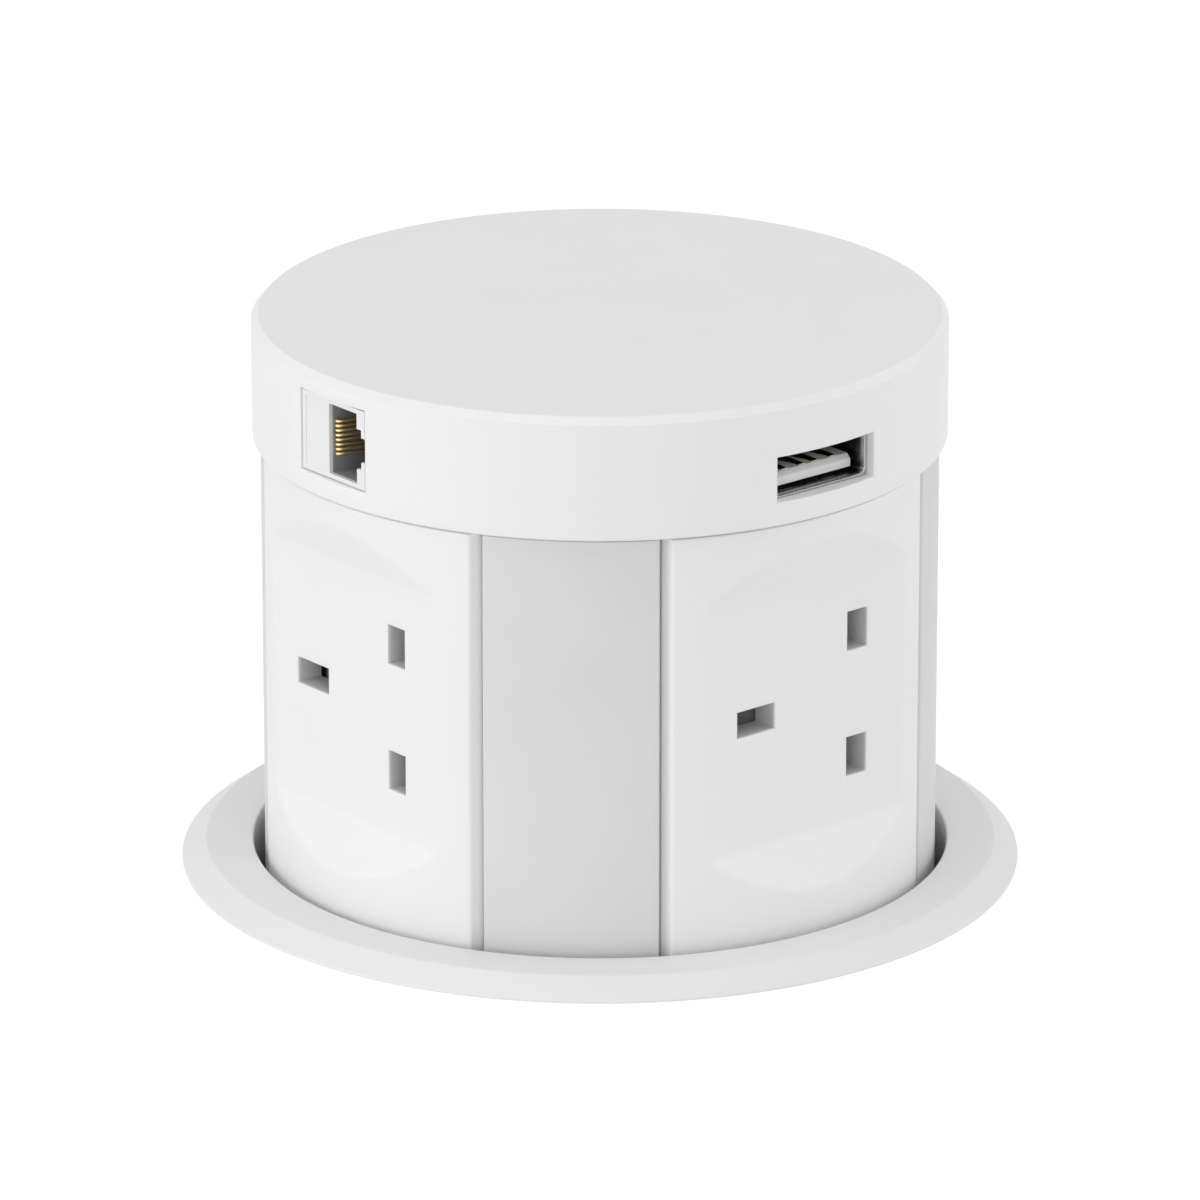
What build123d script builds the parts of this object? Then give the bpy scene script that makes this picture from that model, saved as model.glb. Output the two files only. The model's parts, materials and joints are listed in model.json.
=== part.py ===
"""Motorised pop up desk socket: a round column with four mains sockets, two network jacks and
two USB ports, which rises out of a barrel that is clamped in a hole in a desk.

Millimetres. The origin is on the column's axis at the desk's surface, +Z points up, and the
column stands raised. Each piece is written to parts/NAME.step.
"""

from build123d import *
import os
from math import acos, asin, cos, pi, radians, sin, tan

# Overall sizes
COLUMN_R = 57.65  # outside of the socket panels
CAP_OVERHANG = 1.05  # how far the cap stands out past the panels
CAP_TOP_Z = 97.1  # top of the raised cap above the desk
CAP_H = 21.6
FLANGE_W = 12.2  # trim ring, from the hole to the outside
FLANGE_H = 3.4  # trim ring, above the desk
SKIN_BELOW_DESK = 22.0  # panels and strips, hidden length under the desk's surface
WORKTOP_T = 25.0  # desk top that the clamp is set for

# Clearances
RING_CLEARANCE = 0.6  # cap to the hole in the trim ring, all round
SLIDE_CLEARANCE = 0.3  # carriage in the barrel, loose fits and seats of shells
RUNNING_CLEARANCE = 0.05  # shafts, rods and bushes, on the radius
SEAT_CLEARANCE = 0.2  # fixed pieces dropped into pockets
SHADOW_GAP = 0.7  # between the panels and the cap
CUT_OVERRUN = 5.0  # how far every cutting tool runs past the solid

# Trim ring
FLANGE_BEVEL_W = 4.1
FLANGE_EDGE_H = 0.5  # upright outer edge under the bevel
FLANGE_TOP_T = 1.4
FLANGE_RIM_W = 3.2
COLLAR_DEPTH = 8.0  # collar inside the barrel, under the desk's surface
COLLAR_WALL = 1.5
RING_LIP_ROUND = 0.5

# Barrel, gasket and worktop clamp
BARREL_WALL = 2.0
BARREL_FLANGE_T = 1.2
WASHER_T = 2.0
WASHER_W = 12.0
LOCK_NUT_H = 12.0
LOCK_NUT_W = 7.0
LOCK_NUT_LUGS = 12
LUG_LENGTH = 4.0
LUG_WIDTH = 9.0

# Cap
CAP_WALL = 3.0
CAP_ROOF_T = 2.8
CAP_TOP_ROUND = 1.5
CAP_BOTTOM_ROUND = 0.5
CAP_BASE_T = 2.0
CAP_BOSS_R = 4.0
CAP_BOSS_INSET = 13.7  # from the outside of the cap

# Socket panels: a cylinder with a flat facet, sloped away above and below
PANEL_WALL = 2.8
FACET_CUT = 4.25  # depth of the facet under the cylinder, at its middle
FACET_PLATE_T = 5.0
SOCKET_Z = 41.0  # middle of the three pins
FACET_UP = 22.2  # flat part above and below the socket's middle
FACET_DOWN = 22.5
FACET_SLOPE_H = 6.5
FACET_BACK_MARGIN = 2.0

# Pin apertures of the 13 A pattern
PIN_OFFSET = 11.1  # half of the 22.2 mm spacing
LINE_SLOT_W = 4.4
LINE_SLOT_H = 6.9
EARTH_SLOT_W = 8.2
EARTH_SLOT_H = 4.6

# Corner strips
GROOVE_W = 2.15  # between a panel and a strip, along the outside
STRIP_HALF_W = 14.55
STRIP_SINK = 0.35  # how far the strips lie under the panels' cylinder
STRIP_T = 2.0
STRIP_GAP = 0.35  # between the strips and the cap

# Column frame
POST_WALL = 3.2  # between a post's bore and its inner faces
POST_BORE_R = 5.5
ROD_INSET = 10.65  # guide rods, from the outside of the panels, on the diagonals
FRAME_DECK_T = 3.0
FRAME_DECK_GAP = 0.5
FRAME_NECK_R = 34.0
FRAME_NECK_W = 4.0
SCREW_WAY_R = 8.0

# Socket housings, contacts and shutters
HOUSING_DEPTH = 20.6
HOUSING_HALF_H = 19.0
SHUTTER_T = 2.2
SHUTTER_TRAVEL = 5.4
SHUTTER_HALF_H = 16.0
SHUTTER_LAND_W = 6.0
SHUTTER_LAND_H = 10.0
SHUTTER_BRIDGE_W = 4.0
SHUTTER_TAIL_REACH = 16.4
SHUTTER_TAIL_H = 8.4
CAVITY_CLEARANCE = 1.0
CONTACT_DEPTH = 14.0
CONTACT_SHEET = 0.9
SPRING_WALL = 0.5

# Network jacks, seen from outside: U runs to the right, Z up
JACK_LEFT = 7.6
JACK_RIGHT = 8.8
JACK_LOW_Z = 79.65
JACK_H = 13.85
JACK_DEPTH = 27.0
JACK_SINK = 0.75  # face of the jack behind the cap's widest point
MOUTH_LEFT = 0.45
MOUTH_W = 7.25
MOUTH_H = 12.15
MOUTH_DEPTH = 12.5
MOUTH_STEP_1_W = 1.15
MOUTH_STEP_1_H = 6.9
MOUTH_STEP_2_H = 4.2
LABEL_LEFT = 6.65
LABEL_W = 5.0
LABEL_H = 12.0
LABEL_DEPTH = 0.2
WIRE_COUNT = 8
WIRE_PITCH = 0.81
WIRE_W = 0.6
WIRE_T = 0.35
WIRE_LENGTH = 8.0
WIRE_SINK = 1.0  # tips of the wires behind the jack's face
WIRE_SLOPE = 19.0  # degrees
PUNCH_RIDGE_H = 4.0
PUNCH_RIDGE_L = 9.0

# USB ports
USB_HALF_W = 10.1
USB_LOW_Z = 80.2
USB_H = 7.5
USB_SHEET = 0.6
USB_SINK = 2.4  # rim of the shell behind the cap's widest point
USB_DEPTH = 20.0
USB_CORNER_R = 1.4
TONGUE_HALF_W = 8.4
TONGUE_T = 2.2
TONGUE_LIFT = 0.45  # over the shell's floor
TONGUE_SINK = 2.0  # behind the shell's rim
TONGUE_CHAMFER = 0.8
TONGUE_ROOT_L = 3.0
USB_CONTACT_W = 1.5
USB_CONTACT_T = 0.2
USB_CONTACT_INNER = 1.5
USB_CONTACT_OUTER = 5.25
PORT_GAP = 0.4  # between the USB shells and the cap's openings
JACK_GAP = 0.15

# USB board
BOARD_T = 1.6
USB_BOARD_GAP = 3.7  # between the board's ends and the inside of the cap
USB_BOARD_HALF_W = 13.0
STANDOFF_R = 2.5
CHOKE_R = 6.0
CHOKE_H = 7.0
CHIP_L = 10.0
CHIP_H = 2.0

# Carriage, guide rods, bushes, nut and lead screw
CARRIAGE_H = 12.0
CARRIAGE_WEB_T = 4.0
CARRIAGE_SKIRT_T = 2.5
BUSH_BOSS_R = 8.0
ROD_R = 3.0
ROD_STAND_UP = 3.0  # rods and screw above the raised carriage
BUSH_R = 5.0
BUSH_FLANGE_R = 6.5
BUSH_FLANGE_T = 1.2
NUT_R = 5.3
NUT_HUB_R = 7.2
NUT_FLANGE_T = 3.0
NUT_EAR_PLACE = 10.5
NUT_EAR_R = 4.0
LEAD_SCREW_R = 4.0
SCREW_COLLAR_R = 6.0
SCREW_COLLAR_T = 2.0
SCREW_TAIL_L = 2.5
LEAD_COIL_R = 8.5  # curled flexible lead, outside
LEAD_COIL_X = 17.0
LEAD_WAY_CLEARANCE = 1.0

# Base plate, gear train and gear motor
BASE_CLEARANCE = 4.0  # lowered nut to the base plate
BASE_PLATE_T = 8.0
BASE_RIM_T = 3.0
ROD_POCKET = 6.0
MODULE = 1.0
SCREW_TEETH = 30
PINION_TEETH = 15
PRESSURE_ANGLE = 25.0
ADDENDUM_SHARE = 0.9
DEDENDUM_SHARE = 1.15
FLANK_SHARES = (0, 0.3, 0.65, 1)
BACKLASH = 0.14
GEAR_T = 6.5
GEAR_AIR = 1.0  # above and below the gears
PINION_SHAFT_R = 3.0
PINION_SHAFT_REACH = 6.0  # into the gearbox
BEARING_R = 8.0
BEARING_T = 4.0
BRACKET_T = 4.0
BRACKET_MARGIN = 20.0
PILLAR_R = 3.0
GEARBOX_R = 16.0
GEARBOX_H = 22.0
MOTOR_R = 14.0
MOTOR_H = 30.0
MOTOR_TAB_L = 4.0
MOTOR_TAB_W = 2.4
MOTOR_TAB_T = 0.8
MOTOR_TAB_PLACE = 9.0

# Bottom cover, glands, terminal block and control board
COVER_WALL = 2.4
COVER_FLOOR_T = 3.0
COVER_FLOOR_AIR = 7.0  # motor tabs to the floor
BAY_REACH = 20.0  # raised bay, from its front edge to the glands
BAY_H = 14.0
COVER_BOSS_R = 4.5
COVER_BOSS_INSET = 9.0  # from the outside of the cover
GLAND_X = 20.0
GLAND_INSET = 21.0  # from the outside of the cover
MAINS_BORE_R = 4.0
DATA_BORE_R = 3.2
GLAND_WALL = 2.4
GLAND_HEX_MARGIN = 2.2
GLAND_HEX_H = 5.0
GLAND_DOME_H = 6.0
GLAND_NUT_H = 4.0
TERMINAL_L = 30.0
TERMINAL_W = 12.0
TERMINAL_H = 14.0
TERMINAL_WAYS = 3
TERMINAL_PORT_R = 2.0
TERMINAL_WELL_R = 2.6
CONTROL_BOARD_W = 24.0  # from the axis towards the front
CONTROL_BOARD_HALF_L = 34.0
CONTROL_BOARD_H = 46.0
RAIL_W = 2.6
RAIL_GRIP = 1.5
TRANSFORMER_L = 22.0
TRANSFORMER_W = 18.0
TRANSFORMER_H = 19.0
CAPACITOR_R = 5.0
CAPACITOR_L = 18.0
CAPACITOR_PITCH = 12.0
RELAY_L = 15.0
RELAY_H = 12.0

# Fasteners
M3_R = 1.5
M3_HEAD_R = 2.8
M3_HEAD_H = 1.8
M3_LENGTH = 10.0
CARRIAGE_SCREW_OUTSET = 4.0  # past the guide rods
CARRIAGE_SCREW_TURN = 13.0  # degrees past the diagonal
M4_R = 2.0
M4_HEAD_R = 3.6
M4_HEAD_H = 2.4
M4_LENGTH = 8.0
BARREL_SCREW_R = 1.4
BARREL_SCREW_L = 7.0

# Worked out from the sizes above
CAP_R = COLUMN_R + CAP_OVERHANG
CAP_BOTTOM_Z = CAP_TOP_Z - CAP_H
HOLE_R = CAP_R + RING_CLEARANCE
FLANGE_R = HOLE_R + FLANGE_W
COLLAR_R = HOLE_R + COLLAR_WALL
BARREL_BORE_R = COLLAR_R + SEAT_CLEARANCE
BARREL_R = BARREL_BORE_R + BARREL_WALL
BARREL_FLANGE_R = FLANGE_R - FLANGE_RIM_W - SLIDE_CLEARANCE
BARREL_TOP_Z = FLANGE_H - FLANGE_TOP_T
STROKE = CAP_TOP_Z - FLANGE_H
COLUMN_LOW_Z = -SKIN_BELOW_DESK
PANEL_TOP_Z = CAP_BOTTOM_Z - SHADOW_GAP
STRIP_R = COLUMN_R - STRIP_SINK
STRIP_INNER_R = STRIP_R - STRIP_T
PANEL_EDGE_ANGLE = pi / 4 - asin(STRIP_HALF_W / STRIP_R) - GROOVE_W / STRIP_R
PANEL_HALF_W = COLUMN_R * sin(PANEL_EDGE_ANGLE)
PANEL_INNER_R = COLUMN_R - PANEL_WALL
FRAME_R = min(STRIP_INNER_R, PANEL_INNER_R) - SLIDE_CLEARANCE
FACET_W = COLUMN_R - FACET_CUT
PLATE_BACK_W = FACET_W - FACET_PLATE_T
FACET_TOP_Z = SOCKET_Z + FACET_UP
FACET_LOW_Z = SOCKET_Z - FACET_DOWN
DECK_LOW_Z = FACET_TOP_Z + FACET_SLOPE_H + FRAME_DECK_GAP
DECK_TOP_Z = DECK_LOW_Z + FRAME_DECK_T
ROD_PLACE_R = COLUMN_R - ROD_INSET
ROD_SHIFT = ROD_PLACE_R * cos(pi / 4)
POST_INNER = ROD_SHIFT - POST_BORE_R - POST_WALL
CARRIAGE_SCREW_PLACE_R = ROD_PLACE_R + CARRIAGE_SCREW_OUTSET
CARRIAGE_TOP_Z = COLUMN_LOW_Z
CARRIAGE_LOW_Z = CARRIAGE_TOP_Z - CARRIAGE_H
CARRIAGE_R = BARREL_BORE_R - SLIDE_CLEARANCE
ROD_TOP_Z = CARRIAGE_TOP_Z + ROD_STAND_UP
NUT_LOW_Z = CARRIAGE_LOW_Z - NUT_FLANGE_T
BASE_TOP_Z = NUT_LOW_Z - STROKE - BASE_CLEARANCE
BASE_LOW_Z = BASE_TOP_Z - BASE_PLATE_T
RIM_TOP_Z = BASE_LOW_Z + BASE_RIM_T
GEAR_TOP_Z = BASE_LOW_Z - GEAR_AIR
GEAR_LOW_Z = GEAR_TOP_Z - GEAR_T
BRACKET_TOP_Z = GEAR_LOW_Z - GEAR_AIR
BRACKET_LOW_Z = BRACKET_TOP_Z - BRACKET_T
GEAR_CENTRES = MODULE * (SCREW_TEETH + PINION_TEETH) / 2
SCREW_TIP_R = MODULE * (SCREW_TEETH / 2 + ADDENDUM_SHARE)
GEARBOX_LOW_Z = BRACKET_LOW_Z - GEARBOX_H
MOTOR_LOW_Z = GEARBOX_LOW_Z - MOTOR_H
FLOOR_Z = MOTOR_LOW_Z - COVER_FLOOR_AIR
COVER_LOW_Z = FLOOR_Z - COVER_FLOOR_T
BAY_LOW_Z = COVER_LOW_Z + BAY_H
BAY_FLOOR_Z = BAY_LOW_Z + COVER_FLOOR_T
COVER_BOSS_PLACE_R = BARREL_R - COVER_BOSS_INSET
GLAND_Y = BARREL_R - GLAND_INSET
BAY_EDGE = GLAND_Y - BAY_REACH
CAP_BASE_TOP_Z = CAP_BOTTOM_Z + CAP_BASE_T
CAP_INNER_R = CAP_R - CAP_WALL
CAP_ROOF_Z = CAP_TOP_Z - CAP_ROOF_T
CAP_BOSS_PLACE_R = CAP_R - CAP_BOSS_INSET
USB_BOARD_HALF_L = CAP_INNER_R - USB_BOARD_GAP
USB_BOARD_LOW_Z = USB_LOW_Z - BOARD_T
JACK_FACE_W = CAP_R - JACK_SINK
JACK_MIDDLE_Z = JACK_LOW_Z + JACK_H / 2
USB_RIM_W = CAP_R - USB_SINK
USB_BACK_W = USB_RIM_W - USB_DEPTH
TONGUE_LOW_Z = USB_LOW_Z + USB_SHEET + TONGUE_LIFT
TONGUE_TIP_W = USB_RIM_W - TONGUE_SINK
SHUTTER_FRONT_W = PLATE_BACK_W - SLIDE_CLEARANCE
SHUTTER_BACK_W = SHUTTER_FRONT_W - SHUTTER_T
HOUSING_FRONT_W = PLATE_BACK_W - SEAT_CLEARANCE
HOUSING_BACK_W = HOUSING_FRONT_W - HOUSING_DEPTH
HOUSING_HALF_W = POST_INNER - SLIDE_CLEARANCE
WASHER_TOP_Z = -WORKTOP_T
CLAMP_BORE_R = BARREL_R + SLIDE_CLEARANCE
LOCK_NUT_TOP_Z = WASHER_TOP_Z - WASHER_T - RUNNING_CLEARANCE

SIDE_ANGLES = {"front": 0, "right": 90, "back": 180, "left": 270}
CORNER_ANGLES = {"front_right": 45, "back_right": 135, "back_left": 225, "front_left": 315}
ROD_CORNERS = ("front_right", "back_left")


def block(x0, x1, y0, y1, z0, z1):
    """A box between two corners."""
    return Pos((x0 + x1) / 2, (y0 + y1) / 2, (z0 + z1) / 2) * Box(x1 - x0, y1 - y0, z1 - z0)


def facing(u0, u1, w0, w1, z0, z1):
    """A box on the front side: U runs to the viewer's right, W out of the column."""
    return block(u0, u1, -w1, -w0, z0, z1)


def disc(r, z0, z1, x=0, y=0):
    return Pos(x, y, (z0 + z1) / 2) * Cylinder(r, z1 - z0)


def tube(r_out, r_in, z0, z1, x=0, y=0):
    return disc(r_out, z0, z1, x, y) - disc(r_in, z0 - CUT_OVERRUN, z1 + CUT_OVERRUN, x, y)


def turned(points):
    """A ring turned from an outline of radius and height."""
    return revolve(Plane.XZ * make_face(Polyline(*points, close=True)), Axis.Z)


def at(azimuth, shape):
    """The shape turned about the column's axis, from the front side to another side."""
    return Rot(0, 0, azimuth) * shape


def corner_place(azimuth, r):
    """X and Y of a point at an azimuth: 0 is the front, 90 the right."""
    return r * sin(radians(azimuth)), -r * cos(radians(azimuth))


def prism_across(points, half_w):
    """An outline of W and Z on the front side, drawn out along U to both sides."""
    outline = Plane.YZ * make_face(Polyline(*[(-w, z) for w, z in points], close=True))
    return extrude(outline, half_w, both=True)


def write(name, *solids):
    """One STEP file for a node, of one solid or a group of separate ones."""
    shapes = [s for shape in solids for s in shape.solids()]
    whole = shapes[0] if len(shapes) == 1 else Compound(children=shapes)
    export_step(whole, os.path.join("parts", name + ".step"))


# Trim ring, barrel and worktop clamp


def trim_ring():
    """Flat top, soft conical edge, a collar in the barrel and a recess for its flange."""
    recess_r = FLANGE_R - FLANGE_RIM_W
    return turned(
        [
            (HOLE_R, -COLLAR_DEPTH),
            (COLLAR_R, -COLLAR_DEPTH),
            (COLLAR_R, BARREL_TOP_Z),
            (recess_r, BARREL_TOP_Z),
            (recess_r, 0),
            (FLANGE_R, 0),
            (FLANGE_R, FLANGE_EDGE_H),
            (FLANGE_R - FLANGE_BEVEL_W, FLANGE_H),
            (HOLE_R + RING_LIP_ROUND, FLANGE_H),
            (HOLE_R, FLANGE_H - RING_LIP_ROUND),
        ]
    )


def barrel():
    """Straight tube with a thin flange on top, held by screws at the base plate's rim."""
    flange_low_z = BARREL_TOP_Z - BARREL_FLANGE_T
    shell = turned(
        [
            (BARREL_BORE_R, RIM_TOP_Z),
            (BARREL_R, RIM_TOP_Z),
            (BARREL_R, flange_low_z),
            (BARREL_FLANGE_R, flange_low_z),
            (BARREL_FLANGE_R, BARREL_TOP_Z),
            (BARREL_BORE_R, BARREL_TOP_Z),
        ]
    )
    for azimuth in SIDE_ANGLES.values():
        shell -= barrel_screw(azimuth, SEAT_CLEARANCE)
    return shell


def gasket():
    return tube(BARREL_FLANGE_R, CLAMP_BORE_R, 0, BARREL_TOP_Z - BARREL_FLANGE_T)


def clamp_washer():
    return tube(CLAMP_BORE_R + WASHER_W, CLAMP_BORE_R, WASHER_TOP_Z - WASHER_T, WASHER_TOP_Z)


def lock_nut():
    """Ring nut with grip lugs, turned by hand under the desk."""
    outer_r = CLAMP_BORE_R + LOCK_NUT_W
    low_z = LOCK_NUT_TOP_Z - LOCK_NUT_H
    nut = disc(outer_r, low_z, LOCK_NUT_TOP_Z)
    lug = facing(-LUG_WIDTH / 2, LUG_WIDTH / 2, 0, outer_r + LUG_LENGTH, low_z, LOCK_NUT_TOP_Z)
    for k in range(LOCK_NUT_LUGS):
        nut += at(360 * k / LOCK_NUT_LUGS, lug)
    return nut - disc(CLAMP_BORE_R, low_z - CUT_OVERRUN, LOCK_NUT_TOP_Z + CUT_OVERRUN)


# Cap and its ports


def cap():
    """Deep lid with a flat roof, a hollow inside, screw bosses and four port openings."""
    shell = disc(CAP_R, CAP_BOTTOM_Z, CAP_TOP_Z)
    shell = fillet(shell.edges().sort_by(Axis.Z)[-1], CAP_TOP_ROUND)
    shell = fillet(shell.edges().sort_by(Axis.Z)[0], CAP_BOTTOM_ROUND)
    shell -= disc(CAP_INNER_R, CAP_BOTTOM_Z - CUT_OVERRUN, CAP_ROOF_Z)
    for azimuth in CORNER_ANGLES.values():
        x, y = corner_place(azimuth, CAP_BOSS_PLACE_R)
        boss = disc(CAP_BOSS_R, CAP_BASE_TOP_Z, CAP_ROOF_Z, x, y)
        hole = disc(M3_R, CAP_BASE_TOP_Z, CAP_BASE_TOP_Z + M3_LENGTH, x, y)
        shell += boss - hole
    jack_way = facing(
        -JACK_LEFT - JACK_GAP,
        JACK_RIGHT + JACK_GAP,
        CAP_INNER_R - CUT_OVERRUN,
        CAP_R + CUT_OVERRUN,
        JACK_LOW_Z - JACK_GAP,
        JACK_LOW_Z + JACK_H + JACK_GAP,
    )
    usb_way = facing(
        -USB_HALF_W - PORT_GAP,
        USB_HALF_W + PORT_GAP,
        CAP_INNER_R - CUT_OVERRUN,
        CAP_R + CUT_OVERRUN,
        USB_LOW_Z - JACK_GAP,
        USB_LOW_Z + USB_H + JACK_GAP,
    )
    for azimuth in (SIDE_ANGLES["front"], SIDE_ANGLES["back"]):
        shell -= at(azimuth, jack_way)
    for azimuth in (SIDE_ANGLES["right"], SIDE_ANGLES["left"]):
        shell -= at(azimuth, usb_way)
    return shell


def cap_base():
    """Disc that closes the cap from below, with cradles for the jacks and board standoffs."""
    plate = disc(CAP_INNER_R - SEAT_CLEARANCE, CAP_BOTTOM_Z, CAP_BASE_TOP_Z)
    for azimuth in (SIDE_ANGLES["front"], SIDE_ANGLES["back"]):
        for depth in (JACK_DEPTH / 4, JACK_DEPTH * 3 / 4):
            w = JACK_FACE_W - depth
            cradle = facing(
                -JACK_LEFT, JACK_RIGHT, w - CAP_BASE_T, w + CAP_BASE_T, CAP_BASE_TOP_Z, JACK_LOW_Z
            )
            plate += at(azimuth, cradle)
    for x, y in standoff_places():
        plate += disc(STANDOFF_R, CAP_BASE_TOP_Z, USB_BOARD_LOW_Z, x, y)
    for azimuth in CORNER_ANGLES.values():
        x, y = corner_place(azimuth, CAP_BOSS_PLACE_R)
        plate -= cap_screw(x, y, SEAT_CLEARANCE)
    return plate


def standoff_places():
    x = USB_BOARD_HALF_L / 2
    y = USB_BOARD_HALF_W - STANDOFF_R
    return [(x, y), (x, -y), (-x, y), (-x, -y)]


def usb_board():
    """Board under both ports, with its choke, capacitors and chips."""
    board = block(
        -USB_BOARD_HALF_L,
        USB_BOARD_HALF_L,
        -USB_BOARD_HALF_W,
        USB_BOARD_HALF_W,
        USB_BOARD_LOW_Z,
        USB_LOW_Z,
    )
    board += disc(CHOKE_R, USB_LOW_Z, USB_LOW_Z + CHOKE_H)
    for side in (1, -1):
        x = side * (CHOKE_R + CHIP_L)
        board += block(
            x - CHIP_L / 2, x + CHIP_L / 2, -CHIP_L / 2, CHIP_L / 2, USB_LOW_Z, USB_LOW_Z + CHIP_H
        )
    return board


def jack_mouth():
    """The stepped opening of a network jack turned on its side, catch to the right."""
    back_w = JACK_FACE_W - MOUTH_DEPTH
    front_w = JACK_FACE_W + CUT_OVERRUN
    right_u = MOUTH_W - MOUTH_LEFT
    mouth = facing(
        -MOUTH_LEFT,
        right_u,
        back_w,
        front_w,
        JACK_MIDDLE_Z - MOUTH_H / 2,
        JACK_MIDDLE_Z + MOUTH_H / 2,
    )
    mouth += facing(
        0,
        right_u + MOUTH_STEP_1_W,
        back_w,
        front_w,
        JACK_MIDDLE_Z - MOUTH_STEP_1_H / 2,
        JACK_MIDDLE_Z + MOUTH_STEP_1_H / 2,
    )
    mouth += facing(
        0,
        JACK_RIGHT + CUT_OVERRUN,
        back_w,
        front_w,
        JACK_MIDDLE_Z - MOUTH_STEP_2_H / 2,
        JACK_MIDDLE_Z + MOUTH_STEP_2_H / 2,
    )
    return mouth


def network_jack():
    """Keystone insert: stepped mouth, bare sunk label field, ridges for the wires behind."""
    back_w = JACK_FACE_W - JACK_DEPTH
    body = facing(-JACK_LEFT, JACK_RIGHT, back_w, JACK_FACE_W, JACK_LOW_Z, JACK_LOW_Z + JACK_H)
    body -= jack_mouth()
    body -= facing(
        -LABEL_LEFT,
        LABEL_W - LABEL_LEFT,
        JACK_FACE_W - LABEL_DEPTH,
        JACK_FACE_W + CUT_OVERRUN,
        JACK_MIDDLE_Z - LABEL_H / 2,
        JACK_MIDDLE_Z + LABEL_H / 2,
    )
    gap_half_h = JACK_H / 2 - PUNCH_RIDGE_H
    body -= facing(
        -JACK_LEFT - CUT_OVERRUN,
        JACK_RIGHT + CUT_OVERRUN,
        back_w - CUT_OVERRUN,
        back_w + PUNCH_RIDGE_L,
        JACK_MIDDLE_Z - gap_half_h,
        JACK_MIDDLE_Z + gap_half_h,
    )
    return body


def network_wires():
    """Eight sprung gold wires that lean from the mouth's left wall towards its back."""
    lean_u = sin(radians(WIRE_SLOPE))
    lean_w = cos(radians(WIRE_SLOPE))
    foot = WIRE_T / lean_u
    tip_w = JACK_FACE_W - WIRE_SINK
    corners = [
        (-MOUTH_LEFT, tip_w),
        (-MOUTH_LEFT, tip_w - foot),
        (-MOUTH_LEFT + WIRE_LENGTH * lean_u, tip_w - foot - WIRE_LENGTH * lean_w),
        (-MOUTH_LEFT + WIRE_LENGTH * lean_u, tip_w - WIRE_LENGTH * lean_w),
    ]
    side = make_face(Polyline(*[(u, -w) for u, w in corners], close=True))
    wires = []
    for k in range(WIRE_COUNT):
        z = JACK_MIDDLE_Z + WIRE_PITCH * (k - (WIRE_COUNT - 1) / 2)
        wires.append(Pos(0, 0, z) * extrude(side, WIRE_W / 2, both=True))
    return wires


def usb_shell():
    """Folded metal shell of a port, with rounded corners, open to the front."""
    middle_z = USB_LOW_Z + USB_H / 2
    outer = Plane.XZ * RectangleRounded(USB_HALF_W * 2, USB_H, USB_CORNER_R)
    inner = Plane.XZ * RectangleRounded(
        (USB_HALF_W - USB_SHEET) * 2, USB_H - 2 * USB_SHEET, USB_CORNER_R - USB_SHEET
    )
    body = Pos(0, -USB_BACK_W, middle_z) * extrude(outer, USB_DEPTH)
    hollow = Pos(0, -USB_BACK_W - USB_SHEET, middle_z) * extrude(inner, USB_DEPTH)
    return body - hollow


def usb_tongue():
    """Insulator of a port: a root block inside the shell and the chamfered tongue."""
    top_z = TONGUE_LOW_Z + TONGUE_T
    root_w = USB_BACK_W + USB_SHEET
    tongue = prism_across(
        [
            (root_w, TONGUE_LOW_Z),
            (TONGUE_TIP_W, TONGUE_LOW_Z),
            (TONGUE_TIP_W, top_z - TONGUE_CHAMFER),
            (TONGUE_TIP_W - TONGUE_CHAMFER, top_z),
            (root_w, top_z),
        ],
        TONGUE_HALF_W,
    )
    tongue += facing(
        -USB_HALF_W + USB_SHEET + USB_CORNER_R,
        USB_HALF_W - USB_SHEET - USB_CORNER_R,
        root_w,
        root_w + TONGUE_ROOT_L,
        USB_LOW_Z + USB_SHEET,
        USB_LOW_Z + USB_H - USB_SHEET,
    )
    return tongue


def usb_contacts():
    """Four flat contacts on top of a port's tongue."""
    low_z = TONGUE_LOW_Z + TONGUE_T
    strips = []
    for middle in (-USB_CONTACT_OUTER, -USB_CONTACT_INNER, USB_CONTACT_INNER, USB_CONTACT_OUTER):
        strips.append(
            facing(
                middle - USB_CONTACT_W / 2,
                middle + USB_CONTACT_W / 2,
                USB_BACK_W + USB_SHEET + TONGUE_ROOT_L,
                TONGUE_TIP_W - TONGUE_CHAMFER,
                low_z,
                low_z + USB_CONTACT_T,
            )
        )
    return strips


# Socket panels, strips, housings, contacts and shutters


def pin_slots(front_w, back_w, margin):
    """Cutters for the earth slot on the left and the two line slots on the right."""
    half_w = LINE_SLOT_W / 2 + margin
    half_h = LINE_SLOT_H / 2 + margin
    slots = [
        facing(
            -PIN_OFFSET - EARTH_SLOT_W / 2 - margin,
            -PIN_OFFSET + EARTH_SLOT_W / 2 + margin,
            back_w,
            front_w,
            SOCKET_Z - EARTH_SLOT_H / 2 - margin,
            SOCKET_Z + EARTH_SLOT_H / 2 + margin,
        )
    ]
    for side in (1, -1):
        z = SOCKET_Z + side * PIN_OFFSET
        slots.append(
            facing(PIN_OFFSET - half_w, PIN_OFFSET + half_w, back_w, front_w, z - half_h, z + half_h)
        )
    return slots


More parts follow.
